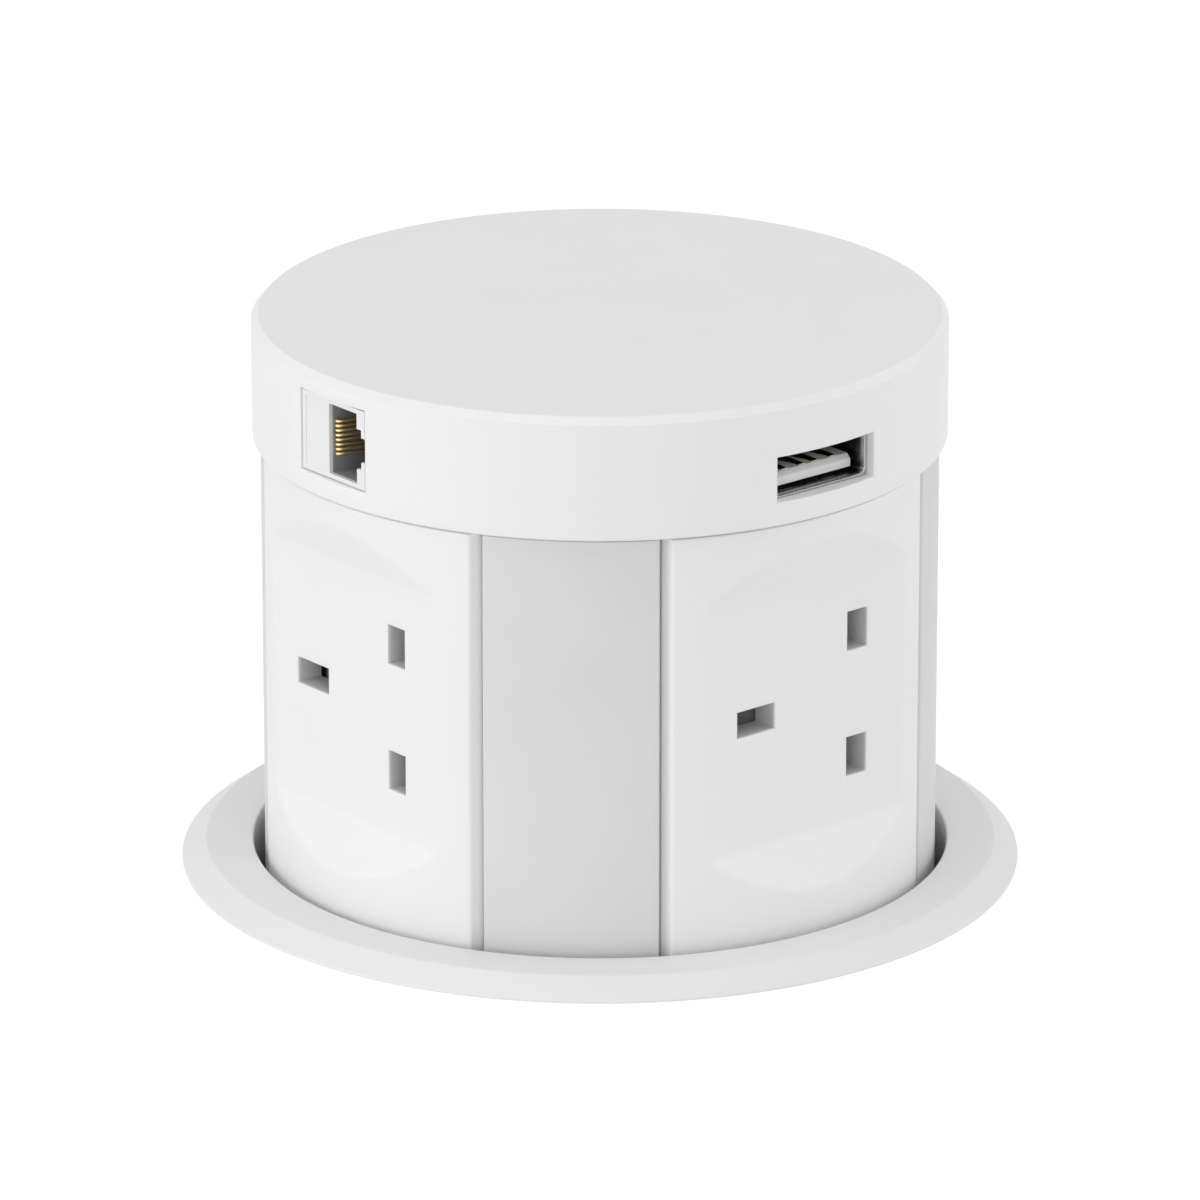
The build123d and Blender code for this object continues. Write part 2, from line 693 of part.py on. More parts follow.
def socket_panel():
    """Curved moulding with a sloped-in flat facet, hollow behind, and three pin apertures."""
    body = disc(COLUMN_R, COLUMN_LOW_Z, PANEL_TOP_Z) & facing(
        -PANEL_HALF_W, PANEL_HALF_W, 0, COLUMN_R + CUT_OVERRUN, COLUMN_LOW_Z, PANEL_TOP_Z
    )
    slope = FACET_CUT / FACET_SLOPE_H
    out_h = CUT_OVERRUN / slope
    body -= prism_across(
        [
            (FACET_W, FACET_LOW_Z),
            (FACET_W, FACET_TOP_Z),
            (COLUMN_R + CUT_OVERRUN, FACET_TOP_Z + FACET_SLOPE_H + out_h),
            (COLUMN_R + CUT_OVERRUN, FACET_LOW_Z - FACET_SLOPE_H - out_h),
        ],
        PANEL_HALF_W + CUT_OVERRUN,
    )
    back_top_z = FACET_TOP_Z + FACET_BACK_MARGIN
    back_low_z = FACET_LOW_Z - FACET_BACK_MARGIN
    hollow = prism_across(
        [
            (0, COLUMN_LOW_Z - CUT_OVERRUN),
            (COLUMN_R, COLUMN_LOW_Z - CUT_OVERRUN),
            (COLUMN_R, FACET_LOW_Z - FACET_SLOPE_H - CUT_OVERRUN),
            (PANEL_INNER_R, FACET_LOW_Z - FACET_SLOPE_H),
            (PLATE_BACK_W, back_low_z),
            (PLATE_BACK_W, back_top_z),
            (PANEL_INNER_R, FACET_TOP_Z + FACET_SLOPE_H),
            (COLUMN_R, FACET_TOP_Z + FACET_SLOPE_H + CUT_OVERRUN),
            (COLUMN_R, PANEL_TOP_Z + CUT_OVERRUN),
            (0, PANEL_TOP_Z + CUT_OVERRUN),
        ],
        PANEL_HALF_W + CUT_OVERRUN,
    )
    body -= hollow & disc(PANEL_INNER_R, COLUMN_LOW_Z - CUT_OVERRUN, PANEL_TOP_Z + CUT_OVERRUN)
    for slot in pin_slots(COLUMN_R, PLATE_BACK_W - CUT_OVERRUN, 0):
        body -= slot
    return body


def corner_strip():
    """Plain satin strip that covers a corner post of the frame."""
    low_z = COLUMN_LOW_Z
    top_z = CAP_BOTTOM_Z - STRIP_GAP
    return tube(STRIP_R, STRIP_INNER_R, low_z, top_z) & facing(
        -STRIP_HALF_W, STRIP_HALF_W, 0, COLUMN_R, low_z, top_z
    )


def socket_housing():
    """Back box of a socket, with the shutter's cavity and three pockets for the contacts."""
    body = facing(
        -HOUSING_HALF_W,
        HOUSING_HALF_W,
        HOUSING_BACK_W,
        HOUSING_FRONT_W,
        SOCKET_Z - HOUSING_HALF_H,
        SOCKET_Z + HOUSING_HALF_H,
    )
    body -= facing(
        -SHUTTER_TAIL_REACH - EARTH_SLOT_H,
        cavity_right(),
        SHUTTER_BACK_W - SEAT_CLEARANCE,
        HOUSING_FRONT_W + CUT_OVERRUN,
        SOCKET_Z - SHUTTER_HALF_H - CAVITY_CLEARANCE,
        SOCKET_Z + SHUTTER_HALF_H + CAVITY_CLEARANCE,
    )
    margin = CONTACT_SHEET + SEAT_CLEARANCE
    for pocket in pin_slots(HOUSING_FRONT_W, contact_back() - SEAT_CLEARANCE, margin):
        body -= pocket
    return body


def cavity_right():
    """Inner wall of the housing that the shutter's spring leans on."""
    return PIN_OFFSET + SHUTTER_LAND_W / 2 + SHUTTER_TRAVEL + CAVITY_CLEARANCE


def contact_back():
    return SHUTTER_BACK_W - CAVITY_CLEARANCE - CONTACT_DEPTH


def socket_contacts():
    """Three folded brass grips, one a pin, open to the front."""
    front_w = SHUTTER_BACK_W - CAVITY_CLEARANCE
    back_w = contact_back()
    grips = []
    outer = pin_slots(front_w, back_w, CONTACT_SHEET)
    inner = pin_slots(front_w + CUT_OVERRUN, back_w + CONTACT_SHEET, 0)
    for sleeve, way in zip(outer, inner):
        grips.append(sleeve - way)
    return grips


def shutter():
    """Sliding shutter: two lands behind the line slots and a ramped tail at the earth slot."""
    land_left = PIN_OFFSET - SHUTTER_LAND_W / 2
    land_right = PIN_OFFSET + SHUTTER_LAND_W / 2
    plate = facing(
        land_left - SHUTTER_BRIDGE_W,
        land_left,
        SHUTTER_BACK_W,
        SHUTTER_FRONT_W,
        SOCKET_Z - SHUTTER_HALF_H,
        SOCKET_Z + SHUTTER_HALF_H,
    )
    for side in (1, -1):
        z = SOCKET_Z + side * (SHUTTER_HALF_H - SHUTTER_LAND_H / 2)
        plate += facing(
            land_left,
            land_right,
            SHUTTER_BACK_W,
            SHUTTER_FRONT_W,
            z - SHUTTER_LAND_H / 2,
            z + SHUTTER_LAND_H / 2,
        )
    tail_outline = [
        (-SHUTTER_TAIL_REACH, -SHUTTER_BACK_W),
        (-SHUTTER_TAIL_REACH + SHUTTER_T, -SHUTTER_FRONT_W),
        (land_left, -SHUTTER_FRONT_W),
        (land_left, -SHUTTER_BACK_W),
    ]
    tail = extrude(make_face(Polyline(*tail_outline, close=True)), SHUTTER_TAIL_H / 2, both=True)
    return plate + Pos(0, 0, SOCKET_Z) * tail


def shutter_spring():
    """Return spring between the shutter's bridge and the housing's wall."""
    start = PIN_OFFSET - SHUTTER_LAND_W / 2
    length = cavity_right() - start
    middle_w = (SHUTTER_BACK_W + SHUTTER_FRONT_W) / 2
    half_t = (SHUTTER_T - SPRING_WALL) / 2
    coil = Cylinder(half_t, length) - Cylinder(half_t - SPRING_WALL, length)
    return Pos(start + length / 2, -middle_w, SOCKET_Z) * (Rot(0, 90, 0) * coil)


# Column frame and carriage


def corner_post():
    """Square post behind a strip, rounded off on the column's side, bored for a guide rod."""
    outer = PLATE_BACK_W - SLIDE_CLEARANCE
    post = block(POST_INNER, outer, -outer, -POST_INNER, COLUMN_LOW_Z, DECK_LOW_Z)
    post = post & disc(FRAME_R, COLUMN_LOW_Z, DECK_LOW_Z)
    bore = disc(POST_BORE_R, COLUMN_LOW_Z - CUT_OVERRUN, DECK_LOW_Z, ROD_SHIFT, -ROD_SHIFT)
    return post - bore


def column_frame():
    """Four corner posts under one deck, with a neck that carries the cap."""
    frame = disc(FRAME_R, DECK_LOW_Z, DECK_TOP_Z)
    frame += tube(FRAME_NECK_R, FRAME_NECK_R - FRAME_NECK_W, DECK_TOP_Z, CAP_BOTTOM_Z)
    for azimuth in CORNER_ANGLES.values():
        frame += at(azimuth - 45, corner_post())
        x, y = corner_place(azimuth, ROD_PLACE_R)
        frame -= disc(POST_BORE_R, DECK_LOW_Z - CUT_OVERRUN, DECK_TOP_Z + CUT_OVERRUN, x, y)
    for azimuth in CORNER_ANGLES.values():
        frame -= carriage_screw(azimuth, 0)
    return frame - disc(SCREW_WAY_R, DECK_LOW_Z - CUT_OVERRUN, DECK_TOP_Z + CUT_OVERRUN)


def carriage():
    """Guided plate under the column: web, skirt, bush bosses and the drive nut's hub."""
    web_low_z = CARRIAGE_TOP_Z - CARRIAGE_WEB_T
    body = disc(CARRIAGE_R, web_low_z, CARRIAGE_TOP_Z)
    body += tube(CARRIAGE_R, CARRIAGE_R - CARRIAGE_SKIRT_T, CARRIAGE_LOW_Z, CARRIAGE_TOP_Z)
    body += disc(NUT_HUB_R, CARRIAGE_LOW_Z, CARRIAGE_TOP_Z)
    low_z = CARRIAGE_LOW_Z - CUT_OVERRUN
    top_z = CARRIAGE_TOP_Z + CUT_OVERRUN
    for name in ROD_CORNERS:
        x, y = corner_place(CORNER_ANGLES[name], ROD_PLACE_R)
        body += disc(BUSH_BOSS_R, CARRIAGE_LOW_Z, CARRIAGE_TOP_Z, x, y)
        body -= disc(BUSH_R + RUNNING_CLEARANCE, low_z, top_z, x, y)
    body -= disc(NUT_R + RUNNING_CLEARANCE, low_z, top_z)
    body -= disc(LEAD_COIL_R + LEAD_WAY_CLEARANCE, low_z, top_z, LEAD_COIL_X, 0)
    for azimuth in CORNER_ANGLES.values():
        body -= carriage_screw(azimuth, SEAT_CLEARANCE)
    return body


def guide_bush(x, y):
    bore_r = ROD_R + RUNNING_CLEARANCE
    sleeve = tube(BUSH_R, bore_r, CARRIAGE_LOW_Z, CARRIAGE_TOP_Z, x, y)
    return sleeve + tube(BUSH_FLANGE_R, bore_r, CARRIAGE_LOW_Z - BUSH_FLANGE_T, CARRIAGE_LOW_Z, x, y)


def drive_nut():
    """Brass nut of the lead screw, with a flange drawn out to two screw ears."""
    nut = disc(NUT_R, CARRIAGE_LOW_Z, CARRIAGE_TOP_Z)
    ears = [disc(NUT_EAR_R, NUT_LOW_Z, CARRIAGE_LOW_Z, 0, s * NUT_EAR_PLACE) for s in (1, -1)]
    bridge = block(
        -NUT_EAR_R, NUT_EAR_R, -NUT_EAR_PLACE, NUT_EAR_PLACE, NUT_LOW_Z, CARRIAGE_LOW_Z
    )
    nut += disc(NUT_R, NUT_LOW_Z, CARRIAGE_LOW_Z) + bridge + ears[0] + ears[1]
    bore_r = LEAD_SCREW_R + RUNNING_CLEARANCE
    return nut - disc(bore_r, NUT_LOW_Z - CUT_OVERRUN, CARRIAGE_TOP_Z + CUT_OVERRUN)


def guide_rod(x, y):
    return disc(ROD_R, BASE_TOP_Z - ROD_POCKET, ROD_TOP_Z, x, y)


def internal_lead():
    """Envelope of the curled lead between the base plate and the column's deck."""
    return disc(LEAD_COIL_R, BASE_TOP_Z, DECK_LOW_Z, LEAD_COIL_X, 0)


# Base plate, gear train, motor and bottom cover


def spur_gear(teeth, bore_r, z0, z1):
    """Involute spur gear with one tooth on +X, thinned for backlash."""
    pitch_r = MODULE * teeth / 2
    tip_r = pitch_r + MODULE * ADDENDUM_SHARE
    root_r = pitch_r - MODULE * DEDENDUM_SHARE
    base_r = pitch_r * cos(radians(PRESSURE_ANGLE))
    start_r = max(base_r, root_r)
    half_at_pitch = pi / (2 * teeth) - BACKLASH / (4 * pitch_r)

    def half_angle(r):
        """Half of the tooth's angle at a radius, from the involute of the base circle."""
        here = acos(min(base_r / r, 1))
        there = radians(PRESSURE_ANGLE)
        return half_at_pitch + (tan(there) - there) - (tan(here) - here)

    def point(r, angle):
        return r * cos(angle), r * sin(angle)

    flank_radii = [start_r + (tip_r - start_r) * share for share in FLANK_SHARES]
    step = 2 * pi / teeth
    edges = []
    for k in range(teeth):
        middle = k * step
        right = [point(r, middle - half_angle(r)) for r in flank_radii]
        left = [point(r, middle + half_angle(r)) for r in reversed(flank_radii)]
        low_right = point(root_r, middle - half_angle(start_r))
        low_left = point(root_r, middle + half_angle(start_r))
        next_right = point(root_r, middle + step - half_angle(start_r))
        if root_r < start_r:
            edges.append(Line(low_right, right[0]))
            edges.append(Line(left[-1], low_left))
        edges.append(Spline(*right))
        edges.append(ThreePointArc(right[-1], point(tip_r, middle), left[0]))
        edges.append(Spline(*left))
        edges.append(ThreePointArc(low_left, point(root_r, middle + step / 2), next_right))
    blank = Pos(0, 0, z0) * extrude(make_face(edges), z1 - z0)
    return blank - disc(bore_r, z0 - CUT_OVERRUN, z1 + CUT_OVERRUN)


def lead_screw():
    """Plain shaft for the thread's outside, with a thrust collar over the base plate."""
    shaft = disc(LEAD_SCREW_R, BRACKET_LOW_Z - SCREW_TAIL_L, ROD_TOP_Z)
    collar_low_z = BASE_TOP_Z + SLIDE_CLEARANCE
    return shaft + disc(SCREW_COLLAR_R, collar_low_z, collar_low_z + SCREW_COLLAR_T)


def screw_gear():
    return spur_gear(SCREW_TEETH, LEAD_SCREW_R + RUNNING_CLEARANCE, GEAR_LOW_Z, GEAR_TOP_Z)


def pinion():
    """Pinion on the motor's shaft, which reaches through the bracket into the gearbox."""
    gear = Pos(GEAR_CENTRES, 0, 0) * spur_gear(PINION_TEETH, PINION_SHAFT_R, GEAR_LOW_Z, GEAR_TOP_Z)
    low_z = BRACKET_LOW_Z - PINION_SHAFT_REACH
    return gear + disc(PINION_SHAFT_R, low_z, GEAR_TOP_Z, GEAR_CENTRES, 0)


def bearing(z0):
    return tube(BEARING_R, LEAD_SCREW_R + RUNNING_CLEARANCE, z0, z0 + BEARING_T)


def base_plate():
    """Stepped plate that closes the barrel and carries the rods and the upper bearing."""
    plate = disc(BARREL_BORE_R - RUNNING_CLEARANCE, BASE_LOW_Z, BASE_TOP_Z)
    plate += disc(BARREL_R, BASE_LOW_Z, RIM_TOP_Z)
    plate -= disc(BEARING_R + RUNNING_CLEARANCE, BASE_LOW_Z - CUT_OVERRUN, BASE_LOW_Z + BEARING_T)
    way_r = LEAD_SCREW_R + SLIDE_CLEARANCE
    plate -= disc(way_r, BASE_LOW_Z, BASE_TOP_Z + CUT_OVERRUN)
    for name in ROD_CORNERS:
        x, y = corner_place(CORNER_ANGLES[name], ROD_PLACE_R)
        plate -= disc(ROD_R + RUNNING_CLEARANCE, BASE_TOP_Z - ROD_POCKET, BASE_TOP_Z + CUT_OVERRUN, x, y)
    for azimuth in SIDE_ANGLES.values():
        plate -= barrel_screw(azimuth, 0)
    for azimuth in CORNER_ANGLES.values():
        plate -= cover_screw(azimuth, 0)
    return plate


def pillar_places():
    reach = BRACKET_MARGIN - PILLAR_R
    left = -SCREW_TIP_R + PILLAR_R
    right = GEAR_CENTRES + reach
    return [(left, reach), (left, -reach), (right, reach), (right, -reach)]


def motor_bracket():
    """Plate under the gears with four pillars up to the base plate."""
    left = pillar_places()[0][0] - PILLAR_R
    plate = block(
        left,
        GEAR_CENTRES + BRACKET_MARGIN,
        -BRACKET_MARGIN,
        BRACKET_MARGIN,
        BRACKET_LOW_Z,
        BRACKET_TOP_Z,
    )
    for x, y in pillar_places():
        plate += disc(PILLAR_R, BRACKET_TOP_Z, BASE_LOW_Z, x, y)
    low_z = BRACKET_LOW_Z - CUT_OVERRUN
    top_z = BRACKET_TOP_Z + CUT_OVERRUN
    plate -= disc(BEARING_R + RUNNING_CLEARANCE, low_z, top_z)
    return plate - disc(PINION_SHAFT_R + SLIDE_CLEARANCE, low_z, top_z, GEAR_CENTRES, 0)


def gear_motor():
    """Gearbox and motor can in line, with two solder tabs below."""
    box = disc(GEARBOX_R, GEARBOX_LOW_Z, BRACKET_LOW_Z, GEAR_CENTRES, 0)
    bore_low_z = BRACKET_LOW_Z - PINION_SHAFT_REACH - SLIDE_CLEARANCE
    box -= disc(
        PINION_SHAFT_R + RUNNING_CLEARANCE, bore_low_z, BRACKET_LOW_Z + CUT_OVERRUN, GEAR_CENTRES, 0
    )
    can = disc(MOTOR_R, MOTOR_LOW_Z, GEARBOX_LOW_Z, GEAR_CENTRES, 0)
    for side in (1, -1):
        y = side * MOTOR_TAB_PLACE
        can += block(
            GEAR_CENTRES - MOTOR_TAB_W / 2,
            GEAR_CENTRES + MOTOR_TAB_W / 2,
            y - MOTOR_TAB_T / 2,
            y + MOTOR_TAB_T / 2,
            MOTOR_LOW_Z - MOTOR_TAB_L,
            MOTOR_LOW_Z,
        )
    return [box, can]


def bottom_cover():
    """Cup under the base plate, with a raised bay at the back for the glands."""
    body = disc(BARREL_R, COVER_LOW_Z, BASE_LOW_Z)
    inner_r = BARREL_R - COVER_WALL
    cavity = disc(inner_r, FLOOR_Z, BASE_LOW_Z + CUT_OVERRUN)
    bay_inner = BAY_EDGE - COVER_FLOOR_T
    cavity -= block(-BARREL_R, BARREL_R, bay_inner, BARREL_R, COVER_LOW_Z, BAY_FLOOR_Z)
    body -= cavity
    body -= block(
        -BARREL_R, BARREL_R, BAY_EDGE, BARREL_R + CUT_OVERRUN, COVER_LOW_Z - CUT_OVERRUN, BAY_LOW_Z
    )
    for azimuth in CORNER_ANGLES.values():
        x, y = corner_place(azimuth, COVER_BOSS_PLACE_R)
        low_z = FLOOR_Z if y < 0 else BAY_FLOOR_Z
        body += disc(COVER_BOSS_R, low_z, BASE_LOW_Z, x, y)
        body -= cover_screw(azimuth, SEAT_CLEARANCE)
    for side in (1, -1):
        body += board_rail(side)
        thread_r = gland_thread_r(side)
        top_z = BAY_FLOOR_Z + CUT_OVERRUN
        hole_r = thread_r + SEAT_CLEARANCE
        body -= disc(hole_r, BAY_LOW_Z - CUT_OVERRUN, top_z, side * GLAND_X, GLAND_Y)
    return body


def board_rail(side):
    """Rib from the cover's wall with a groove for one edge of the control board."""
    half_t = BOARD_T / 2
    wall_u = ((BARREL_R - COVER_WALL / 2) ** 2 - (CONTROL_BOARD_W + RAIL_W + BOARD_T) ** 2) ** 0.5
    top_z = FLOOR_Z + CONTROL_BOARD_H
    low, high = sorted((side * (CONTROL_BOARD_HALF_L - RAIL_GRIP), side * wall_u))
    back_w = CONTROL_BOARD_W - half_t - RAIL_W
    front_w = CONTROL_BOARD_W + half_t + RAIL_W
    rail = facing(low, high, back_w, front_w, FLOOR_Z, top_z)
    groove_low, groove_high = sorted((0, side * (CONTROL_BOARD_HALF_L + SEAT_CLEARANCE)))
    return rail - facing(
        groove_low,
        groove_high,
        CONTROL_BOARD_W - half_t - SEAT_CLEARANCE,
        CONTROL_BOARD_W + half_t + SEAT_CLEARANCE,
        FLOOR_Z,
        top_z + CUT_OVERRUN,
    )


def gland_thread_r(side):
    """Thread of the mains gland on the left of the bay, of the data gland on the right."""
    return (MAINS_BORE_R if side < 0 else DATA_BORE_R) + GLAND_WALL


def gland(side):
    """Cable gland: hexagon and dome under the bay's floor, thread and nut above it."""
    bore_r = MAINS_BORE_R if side < 0 else DATA_BORE_R
    thread_r = gland_thread_r(side)
    hex_r = thread_r + GLAND_HEX_MARGIN
    x = side * GLAND_X
    hex_low_z = BAY_LOW_Z - GLAND_HEX_H
    dome_low_z = hex_low_z - GLAND_DOME_H
    nut_top_z = BAY_FLOOR_Z + GLAND_NUT_H
    body = Pos(x, GLAND_Y, hex_low_z) * extrude(RegularPolygon(hex_r, 6), GLAND_HEX_H)
    body += Pos(x, GLAND_Y, BAY_FLOOR_Z) * extrude(RegularPolygon(hex_r, 6), GLAND_NUT_H)
    body += disc(thread_r, BAY_LOW_Z - GLAND_HEX_H, nut_top_z, x, GLAND_Y)
    dome = Pos(x, GLAND_Y, (dome_low_z + hex_low_z) / 2) * Cone(
        bore_r + GLAND_WALL / 2, thread_r, GLAND_DOME_H
    )
    return body + dome - disc(bore_r, dome_low_z - CUT_OVERRUN, nut_top_z + CUT_OVERRUN, x, GLAND_Y)


def terminal_block():
    """Three-way screw terminal for the mains, on the bay's floor between the glands' wires."""
    middle_y = BAY_EDGE + TERMINAL_W / 2
    top_z = BAY_FLOOR_Z + TERMINAL_H
    body = block(
        -TERMINAL_L / 2,
        TERMINAL_L / 2,
        middle_y - TERMINAL_W / 2,
        middle_y + TERMINAL_W / 2,
        BAY_FLOOR_Z,
        top_z,
    )
    pitch = TERMINAL_L / TERMINAL_WAYS
    for k in range(TERMINAL_WAYS):
        x = pitch * (k - (TERMINAL_WAYS - 1) / 2)
        port = Pos(x, middle_y, BAY_FLOOR_Z + TERMINAL_H / 3) * (
            Rot(90, 0, 0) * Cylinder(TERMINAL_PORT_R, TERMINAL_W + CUT_OVERRUN)
        )
        body -= port
        body -= disc(TERMINAL_WELL_R, BAY_FLOOR_Z + TERMINAL_H / 2, top_z + CUT_OVERRUN, x, middle_y)
    return body


def control_board():
    """Upright board in the cover's rails, with its transformer, relay and capacitors."""
    back_w = CONTROL_BOARD_W - BOARD_T / 2
    front_w = CONTROL_BOARD_W + BOARD_T / 2
    half_l = CONTROL_BOARD_HALF_L
    board = facing(-half_l, half_l, back_w, front_w, FLOOR_Z, FLOOR_Z + CONTROL_BOARD_H)
    part_z = FLOOR_Z + CONTROL_BOARD_H / 4
    core = TRANSFORMER_L / 2
    board += facing(-core, core, front_w, front_w + TRANSFORMER_W, part_z, part_z + TRANSFORMER_H)
    relay_u = -core - RELAY_L - RAIL_GRIP
    board += facing(
        relay_u, relay_u + RELAY_L, front_w, front_w + RELAY_H, part_z, part_z + RELAY_L
    )
    capacitor = Rot(90, 0, 0) * Cylinder(CAPACITOR_R, CAPACITOR_L)
    for k in range(2):
        z = part_z + CAPACITOR_R + CAPACITOR_PITCH * k
        u = core + CAPACITOR_R + RAIL_GRIP
        board += Pos(u, -front_w - CAPACITOR_L / 2, z) * capacitor
    return board


# Fasteners: each also serves as the cutter of its own hole, with a margin on the radius


def cap_screw(x, y, margin):
    """Screw through the cap's base into a boss of the cap, its head sunk in the base."""
    shank = disc(M3_R + margin, CAP_BOTTOM_Z, CAP_BASE_TOP_Z + M3_LENGTH - margin, x, y)
    sunk_z = CAP_BOTTOM_Z + CAP_BASE_T / 2
    return shank + disc(M3_HEAD_R + margin, CAP_BOTTOM_Z - margin, sunk_z, x, y)


def carriage_screw(azimuth, margin):
    """Screw from under the carriage's web into a post, beside the rod's bore."""
    x, y = corner_place(azimuth + CARRIAGE_SCREW_TURN, CARRIAGE_SCREW_PLACE_R)
    web_low_z = CARRIAGE_TOP_Z - CARRIAGE_WEB_T
    shank = disc(M3_R + margin, web_low_z, CARRIAGE_TOP_Z + M3_LENGTH, x, y)
    return shank + disc(M3_HEAD_R + margin, web_low_z - M3_HEAD_H, web_low_z, x, y)


def barrel_screw(azimuth, margin):
    """Countersunk screw through the barrel's wall into the base plate's edge."""
    z = (RIM_TOP_Z + BASE_TOP_Z) / 2
    start_w = BARREL_R - BARREL_SCREW_L
    screw = Pos(0, -(start_w + BARREL_R) / 2, z) * (
        Rot(90, 0, 0) * Cylinder(BARREL_SCREW_R + margin, BARREL_SCREW_L)
    )
    return at(azimuth, screw)


def cover_screw(azimuth, margin):
    """Screw from under the cover's floor, in a deep well, into the base plate."""
    x, y = corner_place(azimuth, COVER_BOSS_PLACE_R)
    head_z = BASE_LOW_Z - M4_LENGTH
    shank = disc(M4_R + margin, head_z, BASE_LOW_Z + BASE_RIM_T, x, y)
    low_z = COVER_LOW_Z - CUT_OVERRUN if margin else head_z - M4_HEAD_H
    return shank + disc(M4_HEAD_R + margin, low_z, head_z, x, y)


def main():
    os.makedirs("parts", exist_ok=True)
    write("trim_ring", trim_ring())
    write("barrel", barrel())
    write("worktop_gasket", gasket())
    write("clamp_washer", clamp_washer())
    write("lock_nut", lock_nut())
    write("cap", cap())
    write("cap_base", cap_base())
    write("usb_board", usb_board())
    jack_sides = [SIDE_ANGLES[name] for name in ("front", "back")]
    usb_sides = [SIDE_ANGLES[name] for name in ("right", "left")]
    for name in ("front", "back"):
        write("network_jack_" + name, at(SIDE_ANGLES[name], network_jack()))
    for name in ("right", "left"):
        write("usb_shell_" + name, at(SIDE_ANGLES[name], usb_shell()))
        write("usb_tongue_" + name, at(SIDE_ANGLES[name], usb_tongue()))
    write("network_wires", *[at(a, wire) for a in jack_sides for wire in network_wires()])
    write("usb_contacts", *[at(a, strip) for a in usb_sides for strip in usb_contacts()])
    for name, azimuth in SIDE_ANGLES.items():
        write("socket_panel_" + name, at(azimuth, socket_panel()))
        write("socket_housing_" + name, at(azimuth, socket_housing()))
        write("socket_contacts_" + name, *[at(azimuth, grip) for grip in socket_contacts()])
        write("shutter_" + name, at(azimuth, shutter()))
        write("shutter_spring_" + name, at(azimuth, shutter_spring()))
    for name, azimuth in CORNER_ANGLES.items():
        write("corner_strip_" + name, at(azimuth, corner_strip()))
    write("column_frame", column_frame())
    write("carriage", carriage())
    rod_places = [corner_place(CORNER_ANGLES[name], ROD_PLACE_R) for name in ROD_CORNERS]
    write("guide_bushes", *[guide_bush(x, y) for x, y in rod_places])
    write("guide_rods", *[guide_rod(x, y) for x, y in rod_places])
    write("drive_nut", drive_nut())
    write("internal_lead", internal_lead())
    write("lead_screw", lead_screw())
    write("screw_gear", screw_gear())
    write("pinion", pinion())
    write("screw_bearings", bearing(BASE_LOW_Z), bearing(BRACKET_LOW_Z))
    write("base_plate", base_plate())
    write("motor_bracket", motor_bracket())
    write("gear_motor", *gear_motor())
    write("bottom_cover", bottom_cover())
    write("mains_gland", gland(-1))
    write("data_gland", gland(1))
    write("terminal_block", terminal_block())
    write("control_board", control_board())
    cap_screws = []
    for azimuth in CORNER_ANGLES.values():
        x, y = corner_place(azimuth, CAP_BOSS_PLACE_R)
        cap_screws.append(cap_screw(x, y, 0))
    carriage_screws = [carriage_screw(azimuth, 0) for azimuth in CORNER_ANGLES.values()]
    write("column_screws", *cap_screws, *carriage_screws)
    barrel_screws = [barrel_screw(azimuth, 0) for azimuth in SIDE_ANGLES.values()]
    cover_screws = [cover_screw(azimuth, 0) for azimuth in CORNER_ANGLES.values()]
    write("housing_screws", *barrel_screws, *cover_screws)


main()
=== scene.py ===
# %% [markdown]
# A pop up desk socket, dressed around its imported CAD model.
# The real thing is a white moulded column that rises out of a barrel in a desk. Each step below
# makes some pieces or finishes, and every piece rides on the CAD body that carries it.

# %% Load the frame
import json
from math import asin, ceil, cos, hypot, pi, radians, sin, sqrt

import bmesh
import bpy
from mathutils import Matrix, Vector


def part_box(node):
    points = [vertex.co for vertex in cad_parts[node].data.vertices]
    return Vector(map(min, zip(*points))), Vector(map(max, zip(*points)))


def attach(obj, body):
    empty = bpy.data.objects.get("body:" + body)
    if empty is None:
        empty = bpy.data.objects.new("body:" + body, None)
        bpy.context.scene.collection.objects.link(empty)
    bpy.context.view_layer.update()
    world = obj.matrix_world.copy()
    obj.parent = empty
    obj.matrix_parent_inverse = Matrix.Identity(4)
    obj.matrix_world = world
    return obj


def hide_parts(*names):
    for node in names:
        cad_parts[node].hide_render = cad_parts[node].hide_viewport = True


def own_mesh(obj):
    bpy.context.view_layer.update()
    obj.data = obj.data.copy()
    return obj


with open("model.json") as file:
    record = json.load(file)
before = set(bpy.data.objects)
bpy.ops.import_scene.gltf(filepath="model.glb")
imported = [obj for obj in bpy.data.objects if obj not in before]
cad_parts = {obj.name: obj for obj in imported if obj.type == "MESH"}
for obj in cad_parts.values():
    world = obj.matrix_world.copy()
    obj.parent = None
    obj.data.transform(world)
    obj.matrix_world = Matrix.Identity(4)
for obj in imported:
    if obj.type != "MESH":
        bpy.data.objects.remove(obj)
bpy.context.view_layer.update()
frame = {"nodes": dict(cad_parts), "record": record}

# %% [markdown]
# Sizes come from the frame wherever a CAD box gives them, so a new CAD model moves the looks with
# it.
# The few that no box gives, such as the depth of a facet, are named in metres where they are used.
# In the photo the line under the cap lies a little higher than in the CAD model, so the cap's lip
# and the tops of the panels and strips are lifted by fractions of a millimetre.

# %% Sizes that the pieces share
MM = 0.001
CAP_LIP_LIFT = 0.45 * MM
PANEL_TOP_LIFT = 0.65 * MM
STRIP_TOP_LIFT = 0.33 * MM
SIDES = {"front": 0, "right": 90, "back": 180, "left": 270}
CORNERS = {"front_right": 45, "back_right": 135, "back_left": 225, "front_left": 315}


def reach(node, axis=0):
    """How far a node stands out from the column's axis along X, Y or Z."""
    low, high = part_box(node)
    return max(abs(low[axis]), abs(high[axis]))


